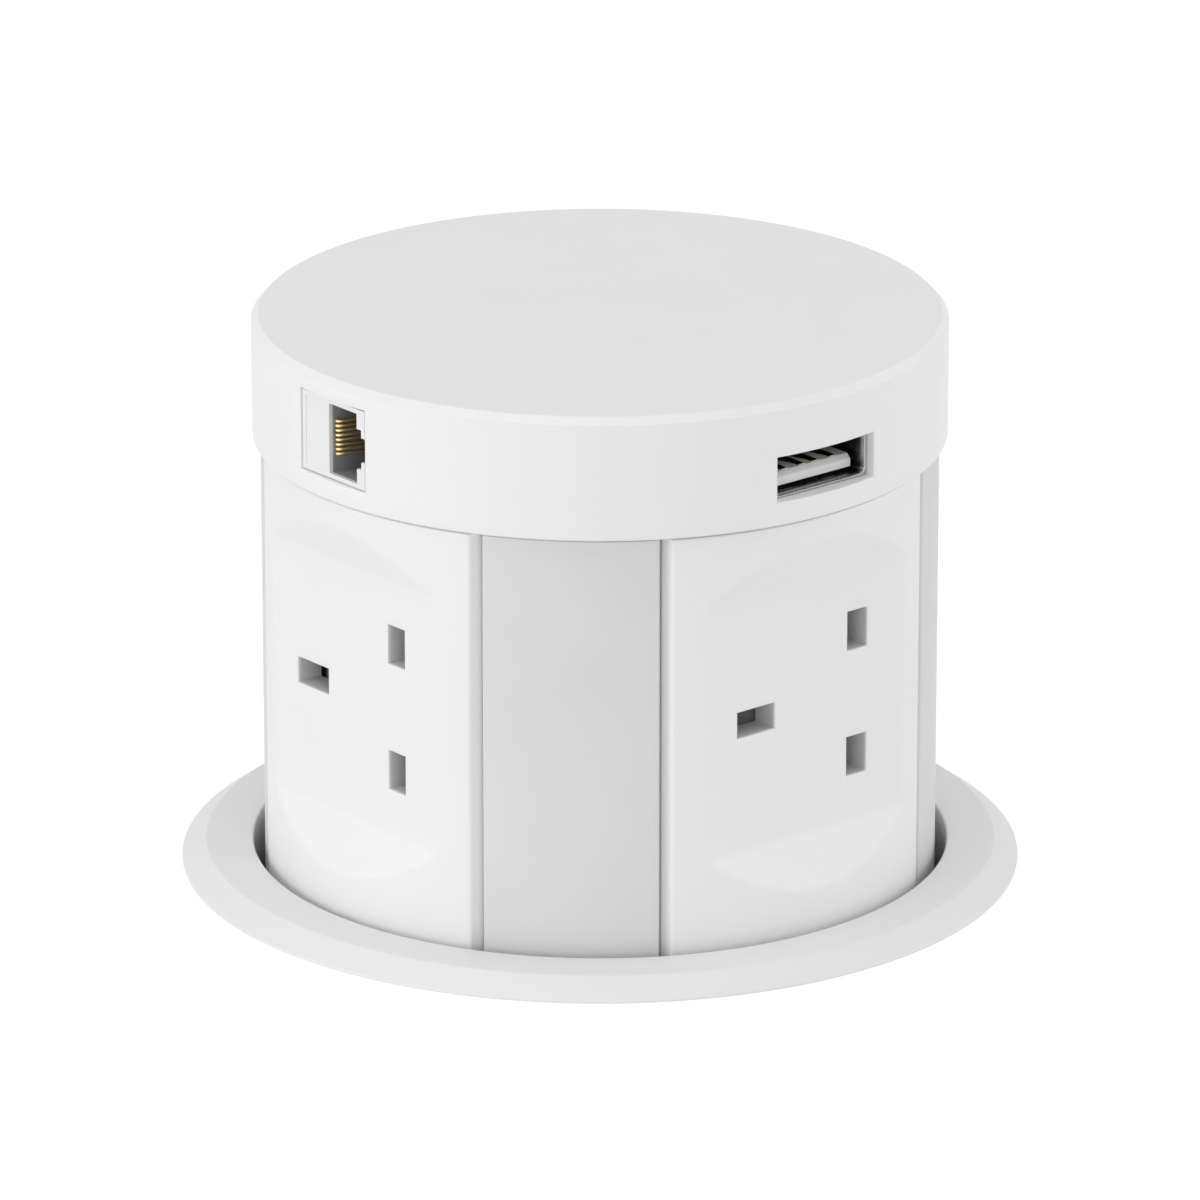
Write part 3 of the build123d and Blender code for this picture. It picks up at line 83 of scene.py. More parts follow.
CAP_R = max(reach("cap", 0), reach("cap", 1))
CAP_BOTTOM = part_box("cap")[0].z + CAP_LIP_LIFT
CAP_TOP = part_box("cap")[1].z
COLUMN_R = reach("socket_panel_front", 1)
PANEL_HALF_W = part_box("socket_panel_front")[1].x
PANEL_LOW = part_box("socket_panel_front")[0].z
PANEL_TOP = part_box("socket_panel_front")[1].z + PANEL_TOP_LIFT
STRIP_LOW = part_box("corner_strip_front_right")[0].z
STRIP_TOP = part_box("corner_strip_front_right")[1].z + STRIP_TOP_LIFT
RING_R = reach("trim_ring")
RING_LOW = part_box("trim_ring")[0].z
RING_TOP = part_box("trim_ring")[1].z
print("cap radius", round(CAP_R / MM, 2), "mm, column radius", round(COLUMN_R / MM, 2), "mm")

# %% [markdown]
# A finish is a small node graph. These blocks make the nodes that several finishes share, so that
# a finish reads as a few lines. A value that is even all over goes on the shader itself.

# %% Blocks of the node graphs
COLOURS = {m["slot"]: m["base_color"] for m in frame["record"]["materials"]}
MATERIALS = {}
NOISE_LOW, NOISE_HIGH = 0.3, 0.7
BUMP_STRENGTH = 0.5


def new_graph(slot):
    """An empty material for a slot, as its node tree and its Principled shader."""
    material = bpy.data.materials.new(slot)
    material.use_nodes = True
    MATERIALS[slot] = material
    return material.node_tree, material.node_tree.nodes["Principled BSDF"]


def plug(tree, socket, value):
    """Links a socket to another node's output, or sets it to a plain value."""
    if isinstance(value, bpy.types.NodeSocket):
        tree.links.new(value, socket)
    else:
        socket.default_value = value


def calculate(tree, operation, *values):
    """The result of a math node."""
    node = tree.nodes.new("ShaderNodeMath")
    node.operation = operation
    for socket, value in zip(node.inputs, values):
        plug(tree, socket, value)
    return node.outputs["Value"]


def remap(tree, value, low, high, to_low=0, to_high=1):
    """Maps the range from low to high onto another one, and holds it at the ends."""
    node = tree.nodes.new("ShaderNodeMapRange")
    limits = {"From Min": low, "From Max": high, "To Min": to_low, "To Max": to_high}
    for name, limit in limits.items():
        node.inputs[name].default_value = limit
    tree.links.new(value, node.inputs["Value"])
    return node.outputs["Result"]


def blend(tree, factor, first, second):
    """The first colour where the factor is 0 and the second one where it is 1."""
    mix = tree.nodes.new("ShaderNodeMix")
    mix.data_type = "RGBA"
    for name, value in (("Factor", factor), ("A", first), ("B", second)):
        plug(tree, mix.inputs[name], value)
    return mix.outputs["Result"]


def noise(tree, scale, stretch=(1, 1, 1), detail=3.0):
    """Noise in the object's own metres, stretched along an axis for brush marks."""
    coords = tree.nodes.new("ShaderNodeTexCoord")
    mapping = tree.nodes.new("ShaderNodeMapping")
    mapping.inputs["Scale"].default_value = stretch
    texture = tree.nodes.new("ShaderNodeTexNoise")
    texture.inputs["Scale"].default_value = scale
    texture.inputs["Detail"].default_value = detail
    tree.links.new(coords.outputs["Object"], mapping.inputs["Vector"])
    tree.links.new(mapping.outputs["Vector"], texture.inputs["Vector"])
    return texture.outputs["Fac"]


def two_tones(tree, value, colour, darker):
    """Blends a colour with a slightly darker one by a noise."""
    dark = [c * darker for c in colour]
    return blend(tree, remap(tree, value, NOISE_LOW, NOISE_HIGH), (*dark, 1), (*colour, 1))


def add_bump(tree, shader, value, depth):
    """Lets a noise stand out of the surface by a depth."""
    bump = tree.nodes.new("ShaderNodeBump")
    bump.inputs["Strength"].default_value = BUMP_STRENGTH
    bump.inputs["Distance"].default_value = depth
    tree.links.new(value, bump.inputs["Height"])
    tree.links.new(bump.outputs["Normal"], shader.inputs["Normal"])


# %% [markdown]
# Moulded plastic is one colour with a faint drift, a fine spark texture from the mould, and a
# gloss that varies a little. Metal is the same idea with a stretched noise for brush marks.

# %% Two kinds of finish
DRIFT_SCALE = 18
GLOSS_SCALE = 60
PLASTIC_GLOSS_DRIFT = 0.03
METAL_GLOSS_DRIFT = 0.05


def add_gloss(tree, shader, value, roughness, drift):
    """Lets the roughness vary with a noise by a drift to either side."""
    gloss = remap(tree, value, NOISE_LOW, NOISE_HIGH, roughness - drift, roughness + drift)
    tree.links.new(gloss, shader.inputs["Roughness"])


def moulded(slot, roughness, spark=900, depth=0.006 * MM, darker=0.985, specular=0.5):
    """Moulded plastic, rubber or lacquer: drift of tone, uneven gloss, spark texture."""
    tree, shader = new_graph(slot)
    tone = two_tones(tree, noise(tree, DRIFT_SCALE), COLOURS[slot], darker)
    tree.links.new(tone, shader.inputs["Base Color"])
    add_gloss(tree, shader, noise(tree, GLOSS_SCALE), roughness, PLASTIC_GLOSS_DRIFT)
    shader.inputs["Specular IOR Level"].default_value = specular
    add_bump(tree, shader, noise(tree, spark, detail=2), depth)


def metallic(slot, roughness, stretch, scale=400, depth=0.004 * MM, darker=0.93):
    """Metal with marks that run across the stretched axis."""
    tree, shader = new_graph(slot)
    marks = noise(tree, scale, stretch)
    tone = two_tones(tree, marks, COLOURS[slot], darker)
    tree.links.new(tone, shader.inputs["Base Color"])
    add_gloss(tree, shader, marks, roughness, METAL_GLOSS_DRIFT)
    shader.inputs["Metallic"].default_value = 1.0
    add_bump(tree, shader, marks, depth)


# %% [markdown]
# Two finishes get painted shade, where shade falls in recesses. A USB port's metal is painted dark
# behind its rim, and the panels' white is painted grey in the pin apertures, from just below the
# sunk facet.

# %% Painted shade in the ports and the pin apertures
PORT_PAINTED_SHADE_START = 0.3 * MM
PORT_PAINTED_SHADE_END = 1.2 * MM
PORT_PAINTED_SHADE_TONE = (0.07, 0.07, 0.075, 1)
PIN_PAINTED_SHADE_START = 4.3 * MM
PIN_PAINTED_SHADE_END = 5.0 * MM
PIN_PAINTED_SHADE_HALF_W = 16 * MM
PIN_PAINTED_SHADE_TONE = (0.55, 0.55, 0.55, 1)


def own_axes(tree):
    """The X, Y and Z of a point in the object's own metres."""
    coords = tree.nodes.new("ShaderNodeTexCoord")
    parts = tree.nodes.new("ShaderNodeSeparateXYZ")
    tree.links.new(coords.outputs["Object"], parts.inputs["Vector"])
    return [parts.outputs[axis] for axis in "XYZ"]


def painted_shade_behind_rim(tree):
    """How much painted shade: 0 at the rim of a USB port and 1 a little way behind it."""
    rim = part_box("usb_shell_right")[1].x
    away = calculate(tree, "ABSOLUTE", own_axes(tree)[0])
    return remap(tree, away, rim - PORT_PAINTED_SHADE_START, rim - PORT_PAINTED_SHADE_END)


def painted_shade_in_pin_ways(tree):
    """How much painted shade: 0 on the skin of the panels and 1 in their pin apertures."""
    x, y, z = own_axes(tree)
    across = [calculate(tree, "ABSOLUTE", value) for value in (x, y)]
    out = calculate(tree, "MAXIMUM", *across)
    beside = calculate(tree, "MINIMUM", *across)
    deep = remap(tree, out, COLUMN_R - PIN_PAINTED_SHADE_START, COLUMN_R - PIN_PAINTED_SHADE_END)
    near_pins = calculate(tree, "LESS_THAN", beside, PIN_PAINTED_SHADE_HALF_W)
    under_cap = calculate(tree, "LESS_THAN", z, PANEL_TOP)
    return calculate(tree, "MULTIPLY", calculate(tree, "MULTIPLY", near_pins, under_cap), deep)


def shade(slot, tone, share):
    """Paints shade: blends a finish into a darker tone as far as share(tree) says, 0 to 1."""
    tree = MATERIALS[slot].node_tree
    base = tree.nodes["Principled BSDF"].inputs["Base Color"]
    tree.links.new(blend(tree, share(tree), base.links[0].from_socket, tone), base)


# %% [markdown]
# The cap and the panels are the same satin white. The strips are a slightly greyer satin paint
# with a finer texture. What lies deeper in the ports and under the desk is darker and plainer.
# The pin apertures and the port metal get painted shade.

# %% Make the finishes
moulded("white_moulding", 0.42)
# Painted shade: the panels' white turns grey inside the pin apertures.
shade("white_moulding", PIN_PAINTED_SHADE_TONE, painted_shade_in_pin_ways)
moulded("ring_white", 0.45)
moulded("strip_satin", 0.5, spark=1400, depth=0.004 * MM, darker=0.93)
moulded("jack_white", 0.35)
moulded("tongue_white", 0.4)
moulded("inner_grey", 0.55, spark=500, depth=0.01 * MM)
moulded("frame_grey", 0.6, spark=500, depth=0.01 * MM)
moulded("barrel_grey", 0.5, spark=600, depth=0.012 * MM, darker=0.95)
moulded("gasket_rubber", 0.85, spark=350, depth=0.05 * MM, darker=0.8, specular=0.3)
moulded("gear_plastic", 0.3)
moulded("gland_black", 0.5, spark=500, depth=0.01 * MM, darker=0.85)
moulded("lead_rubber", 0.6, spark=700, depth=0.02 * MM, darker=0.85)
moulded("terminal_cream", 0.45)
moulded("board_green", 0.3, darker=0.8)
metallic("gold", 0.22, (1, 1, 8), darker=0.9)
metallic("brass", 0.35, (1, 1, 8))
metallic("shell_steel", 0.3, (6, 6, 1))
# Painted shade: the port metal turns dark behind its rim.
shade("shell_steel", PORT_PAINTED_SHADE_TONE, painted_shade_behind_rim)
metallic("spring_steel", 0.3, (4, 4, 4))
metallic("clamp_steel", 0.42, (2, 14, 2))
metallic("rod_steel", 0.25, (1, 1, 30))
metallic("motor_steel", 0.35, (1, 1, 20))
for part in frame["record"]["subparts"]:
    for place in frame["nodes"][part["node"]].material_slots:
        place.material = MATERIALS[part["material_slot"]]
print("finishes:", len(MATERIALS))

# %% [markdown]
# A piece is a mesh that is shown in place of CAD nodes. It gets its slot's finish, smooth shading
# up to a sharp angle, and the body that it rides on.

# %% Helpers for pieces
SMOOTH_ANGLE = 38
SOFT_ANGLE = radians(40)


def to_object(name, bm):
    """Turns a bmesh into an object of the scene and frees it."""
    mesh = bpy.data.meshes.new(name)
    bm.to_mesh(mesh)
    bm.free()
    obj = bpy.data.objects.new(name, mesh)
    bpy.context.scene.collection.objects.link(obj)
    return obj


def add_piece(name, bm, body, slot, turn=0, nodes=(), sharp=SMOOTH_ANGLE):
    """Turns a bmesh into a shown piece that rides on a body and stands for CAD nodes."""
    bmesh.ops.recalc_face_normals(bm, faces=bm.faces)
    bm.transform(Matrix.Rotation(radians(turn), 4, "Z"))
    obj = to_object(name, bm)
    mesh = obj.data
    mesh.polygons.foreach_set("use_smooth", [True] * len(mesh.polygons))
    mesh.set_sharp_from_angle(angle=radians(sharp))
    mesh.materials.append(MATERIALS[slot])
    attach(obj, body)
    if nodes:
        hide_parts(*nodes)
    return obj


def round_edges(obj, width):
    """Gives the sharp edges of an object a small bevel."""
    bevel = obj.modifiers.new("round", "BEVEL")
    bevel.width = width
    bevel.segments = 2
    bevel.limit_method = "ANGLE"
    bevel.angle_limit = SOFT_ANGLE


# %% [markdown]
# Most of the mouldings are thin walls with a front and a back. One helper lays a grid of points
# over both faces, leaves out the cells where an opening is, and closes the borders with walls.
# Grid lines run exactly along the edges of every opening, so that the edges stay true.

# %% Helpers for walls
SHARP_ANGLE = radians(50)


def about(middle, half):
    """The limits of a range from its middle and its half width."""
    return (middle - half, middle + half)


def lines(marks, step):
    """Positions that hold every mark, with even steps between them."""
    marks = sorted(marks)
    result = [marks[0]]
    for a, b in zip(marks, marks[1:]):
        count = max(1, ceil((b - a) / step))
        result += [a + (b - a) * k / count for k in range(1, count + 1)]
    return result


def walled_grid(columns, rows, front, back, is_hole=None, wrap=False, close_first=False):
    """Two sheets of quads, front(i, j) and back(i, j), joined by walls at every border."""
    bm = bmesh.new()
    sheets = []
    for place in (front, back):
        sheets.append([[bm.verts.new(place(i, j)) for j in range(rows)] for i in range(columns)])
    last = columns if wrap else columns - 1
    cells = {(i, j) for i in range(last) for j in range(rows - 1)}
    if is_hole:
        cells = {cell for cell in cells if not is_hole(*cell)}

    def corner(sheet, i, j):
        return sheets[sheet][i % columns][j]

    for i, j in sorted(cells):
        square = ((i, j), (i + 1, j), (i + 1, j + 1), (i, j + 1))
        for sheet in (0, 1):
            bm.faces.new([corner(sheet, *spot) for spot in square])
        beside = ((i, j - 1), (i + 1, j), (i, j + 1), (i - 1, j))
        for k, other in enumerate(beside):
            if wrap:
                other = (other[0] % columns, other[1])
            if other in cells or (close_first and other[1] < 0):
                continue
            a, b = square[k], square[(k + 1) % 4]
            bm.faces.new([corner(0, *a), corner(0, *b), corner(1, *b), corner(1, *a)])
    if close_first:
        for sheet in (0, 1):
            bm.faces.new([corner(sheet, i, 0) for i in range(columns)])
    bmesh.ops.recalc_face_normals(bm, faces=bm.faces)
    return bm


def soften(bm, offset, wanted, segments=2):
    """Rounds the sharp edges whose middle is wanted."""
    chosen = []
    for edge in bm.edges:
        if len(edge.link_faces) == 2 and edge.calc_face_angle(0) > SHARP_ANGLE:
            if wanted((edge.verts[0].co + edge.verts[1].co) / 2):
                chosen.append(edge)
    bmesh.ops.bevel(
        bm, geom=chosen, offset=offset, segments=segments, profile=0.5, affect="EDGES",
        clamp_overlap=True,
    )


def beyond(radius):
    """Picks the places that lie further out than a radius."""
    return lambda middle: hypot(middle.x, middle.y) > radius


# %% [markdown]
# Round things are turned from an outline or swept along points. Both lay rings of points and skin
# them with quads. The corners of an outline are rounded before it is turned.

# %% Helpers for turned and swept shapes
def around(count):
    """Evenly spread directions in a circle, each as its cosine and sine."""
    return [(cos(2 * pi * k / count), sin(2 * pi * k / count)) for k in range(count)]


def skin(bm, rings):
    """Joins rings of points with quads and closes both ends."""
    for ring, after in zip(rings, rings[1:]):
        for k in range(len(ring)):
            n = (k + 1) % len(ring)
            bm.faces.new([ring[k], ring[n], after[n], after[k]])
    bm.faces.new(rings[0])
    bm.faces.new(rings[-1])


def turned(outline, segments):
    """A ring turned from a closed outline of (radius, z) points."""
    bm = bmesh.new()
    rings = []
    for c, s in around(segments):
        rings.append([bm.verts.new((r * c, r * s, z)) for r, z in outline])
    for k, ring in enumerate(rings):
        after = rings[(k + 1) % segments]
        for j in range(len(outline)):
            n = (j + 1) % len(outline)
            bm.faces.new([ring[j], after[j], after[n], ring[n]])
    return bm


def rounded(points, segments):
    """Rounds the corners of an outline: each point is (x, y, radius)."""
    result = []
    for k, (x, y, radius) in enumerate(points):
        if radius == 0:
            result.append((x, y))
            continue
        here = Vector((x, y))
        to_last = Vector(points[k - 1][:2]) - here
        to_next = Vector(points[(k + 1) % len(points)][:2]) - here
        half = to_last.angle(to_next) / 2
        run = radius / abs(sin(half)) * cos(half)
        run = min(run, to_last.length / 2.1, to_next.length / 2.1)
        start = here + to_last.normalized() * run
        end = here + to_next.normalized() * run
        for s in range(segments + 1):
            t = s / segments
            spot = start.lerp(here, t).lerp(here.lerp(end, t), t)
            result.append((spot.x, spot.y))
    return result


def tube(bm, points, radius, sides):
    """Sweeps a circle along points and closes both ends."""
    side = None
    rings = []
    for k, point in enumerate(points):
        ahead = (points[min(k + 1, len(points) - 1)] - points[max(k - 1, 0)]).normalized()
        side = ahead.orthogonal() if side is None else side - ahead * side.dot(ahead)
        side.normalize()
        other = ahead.cross(side)
        arms = [side * c + other * s for c, s in around(sides)]
        rings.append([bm.verts.new(point + arm * radius) for arm in arms])
    skin(bm, rings)


# %% [markdown]
# Jacks, tabs and contacts are carved from boxes. A box is given by its limits on the front side:
# U to the viewer's right, W out of the column, and Z up.

# %% Helpers for carved boxes
BOX_FACES = ((0, 1, 3, 2), (4, 6, 7, 5), (0, 4, 5, 1), (2, 3, 7, 6), (0, 2, 6, 4), (1, 5, 7, 3))


def add_box(bm, u, w, z):
    """Adds a closed box between the given limits to a bmesh."""
    v = [bm.verts.new((a, -b, c)) for a in u for b in w for c in z]
    for face in BOX_FACES:
        bm.faces.new([v[k] for k in face])


def carved(solids, cuts, round_to):
    """Boxes joined and cut by other boxes, with every edge rounded a little."""
    holders = []
    for boxes in (solids, cuts):
        bm = bmesh.new()
        for limits in boxes:
            add_box(bm, *limits)
        bmesh.ops.recalc_face_normals(bm, faces=bm.faces)
        holders.append(to_object("carving", bm))
    body, cutter = holders
    if cuts:
        cut = body.modifiers.new("cut", "BOOLEAN")
        cut.object = cutter
        cut.solver = "EXACT"
        cut.use_self = True
    round_edges(body, round_to)
    bpy.context.view_layer.update()
    shown = body.evaluated_get(bpy.context.evaluated_depsgraph_get())
    result = bmesh.new()
    result.from_mesh(shown.to_mesh())
    for holder in holders:
        bpy.data.objects.remove(holder)
    return result


# %% [markdown]
# The cap is a deep lid. Its outside is a turned outline with a crisp chamfer at the top edge and a
# small round at the bottom, and four ports are cut through its wall. A boolean would leave slivers
# on the curved wall, so the grid is laid out with lines on the edges of the ports instead.

# %% Cap shell with its four port openings
CAP_WALL = 3.0 * MM
CAP_ROOF_T = 2.8 * MM
CAP_TOP_CHAMFER = 1.2 * MM
CAP_BOTTOM_ROUND = 0.5 * MM
CAP_BOTTOM_STEPS = 8
CAP_EDGE_ROUND = 0.2 * MM
CAP_QUARTER = radians(45)
CAP_TURN_STEP = radians(1.5)
CAP_SIDE_STEP = 2 * MM
ROOF_START_R = 12 * MM
ROOF_STEP = 12 * MM
WAY_GAP = 0.15 * MM
USB_SIDE_GAP = 0.4 * MM
CAP_INNER_R = CAP_R - CAP_WALL
CAP_ROOF = CAP_TOP - CAP_ROOF_T
SAME_PLACE = 1e-6
SAME_LINE = 1e-9
jack_low, jack_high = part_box("network_jack_front")
usb_low, usb_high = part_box("usb_shell_right")
JACK_WAY_U = (jack_low.x - WAY_GAP, jack_high.x + WAY_GAP)
JACK_WAY = (*JACK_WAY_U, jack_low.z - WAY_GAP, jack_high.z + WAY_GAP)
USB_WAY_U = (usb_low.y - USB_SIDE_GAP, usb_high.y + USB_SIDE_GAP)
USB_WAY = (*USB_WAY_U, usb_low.z - WAY_GAP, usb_high.z + WAY_GAP)
CAP_WAYS = {"front": JACK_WAY, "right": USB_WAY, "back": JACK_WAY, "left": USB_WAY}


def cap_columns():
    """Every column as an angle, or as a side's angle with a U for the port's edges."""
    columns = []
    for side, azimuth in SIDES.items():
        left, right = CAP_WAYS[side][:2]
        edges = [asin(left / CAP_R), asin(right / CAP_R)]
        for angle in lines([-CAP_QUARTER, *edges, CAP_QUARTER], CAP_TURN_STEP)[:-1]:
            u = None
            if angle in edges:
                u = left if angle == edges[0] else right
            columns.append((radians(azimuth), angle, u, side))
    return columns


def cap_rows():
    """Outside and inside points of the wall's outline, from the roof's middle to the lip."""
    chamfer_low = CAP_TOP - CAP_TOP_CHAMFER
    outside = [(r, CAP_TOP) for r in lines([ROOF_START_R, CAP_R - CAP_TOP_CHAMFER], ROOF_STEP)]
    outside.append((CAP_R, chamfer_low))
    roof_last = len(outside) - 1
    low_side = CAP_BOTTOM + CAP_BOTTOM_ROUND
    sides = lines([low_side, chamfer_low, *JACK_WAY[2:], *USB_WAY[2:]], CAP_SIDE_STEP)[::-1]
    outside += [(CAP_R, z) for z in sides[1:]]
    for k in range(1, CAP_BOTTOM_STEPS + 1):
        turn = pi / 2 * k / CAP_BOTTOM_STEPS
        r = CAP_R - CAP_BOTTOM_ROUND * (1 - cos(turn))
        outside.append((r, low_side - CAP_BOTTOM_ROUND * sin(turn)))
    inside = []
    for k, (_, z) in enumerate(outside):
        if k < roof_last:
            r = ROOF_START_R + (CAP_INNER_R - ROOF_START_R) * k / roof_last
            inside.append((r, CAP_ROOF))
        else:
            inside.append((CAP_INNER_R, min(z, CAP_ROOF)))
    return outside, inside


def make_cap():
    """The cap's wall and roof, with its openings and with every outer edge rounded."""
    columns = cap_columns()
    outside, inside = cap_rows()

    def place(rows):
        def point(i, j):
            azimuth, angle, u, _ = columns[i]
            r, z = rows[j]
            if u is not None and r >= CAP_INNER_R - SAME_PLACE:
                angle = asin(u / r)
            turn = azimuth + angle
            return (r * sin(turn), -r * cos(turn), z)

        return point

    def is_hole(i, j):
        _, angle, _, side = columns[i]
        left, right, low, high = CAP_WAYS[side]
        top, under = outside[j][1], outside[j + 1][1]
        inside_u = asin(left / CAP_R) - SAME_LINE <= angle < asin(right / CAP_R) - SAME_LINE
        return inside_u and top <= high + SAME_LINE and under >= low - SAME_LINE

    walls = place(outside), place(inside)
    bm = walled_grid(len(columns), len(outside), *walls, is_hole, wrap=True, close_first=True)
    soften(bm, CAP_EDGE_ROUND, beyond(CAP_R - CAP_EDGE_ROUND))
    return bm


cap_piece = add_piece("cap_shell", make_cap(), "column", "white_moulding", nodes=["cap"])
print("cap faces:", len(cap_piece.data.polygons))

# %% [markdown]
# A socket panel is part of the column's cylinder with a flat facet sunk into it, so that a plug
# sits flat. Above and below, the facet slopes out until the cylinder takes over, which draws the
# curved corners seen in the photo. The height over U and Z is the smaller of the cylinder and the
# sloped trough, blended over a hair's width, and the three pin apertures are holes in its grid.

# %% Sizes of the facet and the pin apertures
PANEL_WALL = 2.8 * MM
FACET_CUT = 4.25 * MM
FACET_PLATE_T = 5.0 * MM
FACET_SLOPE_H = 8.3 * MM
BACK_SLOPE_SHIFT = 2 * MM
CREASE = 0.16 * MM
SOCKET_Z = 41.0 * MM
FACET_TOP = SOCKET_Z + 22.2 * MM
FACET_LOW = SOCKET_Z - 22.5 * MM
PIN_OFFSET = 11.1 * MM
LINE_SLOT = (4.4 * MM, 6.9 * MM)
EARTH_SLOT = (8.2 * MM, 4.6 * MM)
PIN_AREA_HALF_H = 20 * MM
SLOT_ROUND = 0.15 * MM
PANEL_ROUND = 0.35 * MM
SKIN_DEPTH = 0.1 * MM
FINE_STEP = 0.4 * MM
PANEL_STEP_U = 0.6 * MM
PANEL_STEP_Z = 2.5 * MM
FACET_W = COLUMN_R - FACET_CUT
FACET_EDGE_U = sqrt(COLUMN_R**2 - FACET_W**2)
PIN_WAYS = []
for middle_u, middle_z, size in (
    (-PIN_OFFSET, SOCKET_Z, EARTH_SLOT),
    (PIN_OFFSET, SOCKET_Z + PIN_OFFSET, LINE_SLOT),
    (PIN_OFFSET, SOCKET_Z - PIN_OFFSET, LINE_SLOT),
):
    PIN_WAYS.append((*about(middle_u, size[0] / 2), *about(middle_z, size[1] / 2)))
print("facet half width", round(FACET_EDGE_U / MM, 2), "mm")

# %% [markdown]
# The grid gets fine lines where the facet's edge and its slopes are, and coarse ones elsewhere.
# Its back follows the front, so that the plate behind the facet is thicker than the wall.

# %% Socket panels
def soft_min(a, b, width):
    """The smaller of two heights, with their crease rounded over a width."""
    share = max(width - abs(a - b), 0) / width
    return min(a, b) - share * share * width / 4


def panel_height(u, z, r, flat_w, slope_start):
    """W of the panel's skin: a cylinder of radius r with a sloped trough at flat_w."""
    rise = (r - flat_w) / (FACET_SLOPE_H - slope_start)
    past = max(z - FACET_TOP - slope_start, FACET_LOW - slope_start - z)
    trough = -soft_min(-flat_w, -(flat_w + past * rise), 2 * CREASE)
    return soft_min(sqrt(r * r - u * u), trough, CREASE)


def panel_lines():
    """The grid's positions along U and Z."""
    u_marks = [-PANEL_HALF_W, PANEL_HALF_W]
    z_marks = [PANEL_LOW, PANEL_TOP]
    for way in PIN_WAYS:
        u_marks += way[:2]
        z_marks += way[2:]
    for edge in (-FACET_EDGE_U, FACET_EDGE_U):
        u_marks += [edge - FINE_STEP, edge, edge + FINE_STEP]
    for edge, out in ((FACET_TOP, 1), (FACET_LOW, -1)):
        z_marks += [edge - out * FINE_STEP, edge]
        z_marks += lines([edge, edge + out * (FACET_SLOPE_H + FINE_STEP)], FINE_STEP)
    return lines(set(u_marks), PANEL_STEP_U), lines(set(z_marks), PANEL_STEP_Z)


def make_panel():
    """A socket panel on the front side, with rounded slots and borders."""
    us, zs = panel_lines()
    inner_r = COLUMN_R - PANEL_WALL
    plate_w = FACET_W - FACET_PLATE_T

    def front(i, j):
        return (us[i], -panel_height(us[i], zs[j], COLUMN_R, FACET_W, 0), zs[j])

    def back(i, j):
        return (us[i], -panel_height(us[i], zs[j], inner_r, plate_w, BACK_SLOPE_SHIFT), zs[j])

    def is_hole(i, j):
        u = (us[i] + us[i + 1]) / 2
        z = (zs[j] + zs[j + 1]) / 2
        return any(a < u < b and c < z < d for a, b, c, d in PIN_WAYS)

    def on_skin(middle):
        skin_w = panel_height(middle.x, middle.z, COLUMN_R, FACET_W, 0)
        return -middle.y > skin_w - SKIN_DEPTH

    def at_slot(middle):
        near_pins = abs(middle.x) < FACET_EDGE_U and abs(middle.z - SOCKET_Z) < PIN_AREA_HALF_H
        return near_pins and on_skin(middle)

    def at_border(middle):
        return on_skin(middle) and not at_slot(middle)

    bm = walled_grid(len(us), len(zs), front, back, is_hole)
    soften(bm, SLOT_ROUND, at_slot)
    soften(bm, PANEL_ROUND, at_border, 3)
    return bm


for side, azimuth in SIDES.items():
    replaced = ["socket_panel_" + side]
    name = "panel_skin_" + side
    piece = add_piece(name, make_panel(), "column", "white_moulding", azimuth, replaced)
print("panel faces:", len(piece.data.polygons))

# %% [markdown]
# A corner strip is a plain satin cover between two panels. It is an arc with rounded long edges.

# %% Corner strips
STRIP_HALF_W = 14.55 * MM
STRIP_T = 2.0 * MM
STRIP_SINK = 0.35 * MM
STRIP_ROUND = 0.25 * MM
STRIP_STEP_U = 0.6 * MM
STRIP_STEP_Z = 25 * MM
STRIP_R = COLUMN_R - STRIP_SINK


def make_strip():
    """A corner strip, turned to the front side."""
    us = lines([-STRIP_HALF_W, STRIP_HALF_W], STRIP_STEP_U)
    zs = lines([STRIP_LOW, STRIP_TOP], STRIP_STEP_Z)

    def place(r):
        return lambda i, j: (us[i], -sqrt(r * r - us[i] ** 2), zs[j])

    bm = walled_grid(len(us), len(zs), place(STRIP_R), place(STRIP_R - STRIP_T))
    soften(bm, STRIP_ROUND, beyond(STRIP_R - SKIN_DEPTH), 3)
    return bm


for corner_name, azimuth in CORNERS.items():
    replaced = ["corner_strip_" + corner_name]
    name = "strip_skin_" + corner_name
    add_piece(name, make_strip(), "column", "strip_satin", azimuth, replaced)
print("strips lie", round(STRIP_SINK / MM, 2), "mm below the panels")

# %% [markdown]
# The trim ring is turned: a flat top, a conical edge that meets the desk in a thin upright rim,
# and a collar that centres it in the barrel. Most of its corners have the small rounds of a
# moulding.

# %% Trim ring
HOLE_R = CAP_R + 0.6 * MM
COLLAR_R = HOLE_R + 1.5 * MM
RING_RECESS_R = RING_R - 3.2 * MM
RING_RECESS_Z = RING_TOP - 1.4 * MM
RING_CONE_W = 4.1 * MM
RING_RIM_H = 0.5 * MM
RING_SEGMENTS = 360
ring_points = [
    (HOLE_R, RING_LOW, 0.3 * MM),
    (COLLAR_R, RING_LOW, 0.3 * MM),
    (COLLAR_R, RING_RECESS_Z, 0),
    (RING_RECESS_R, RING_RECESS_Z, 0),
    (RING_RECESS_R, 0, 0.1 * MM),
    (RING_R, 0, 0.1 * MM),
    (RING_R, RING_RIM_H, 0.35 * MM),
    (RING_R - RING_CONE_W, RING_TOP, 0.8 * MM),
    (HOLE_R, RING_TOP, 0.5 * MM),
]
ring_bm = turned(rounded(ring_points, 6), RING_SEGMENTS)
add_piece("ring_skin", ring_bm, "root", "ring_white", nodes=["trim_ring"])
print("gap round the cap:", round((HOLE_R - CAP_R) / MM, 2), "mm")

# %% [markdown]
# The network jack is a keystone insert on its side. Its white front plate is under a millimetre
# thick, with a bare sunk label field, and the insert behind it is darker. The stepped mouth is
# cut through both, and eight sprung gold wires lean in from its left wall.

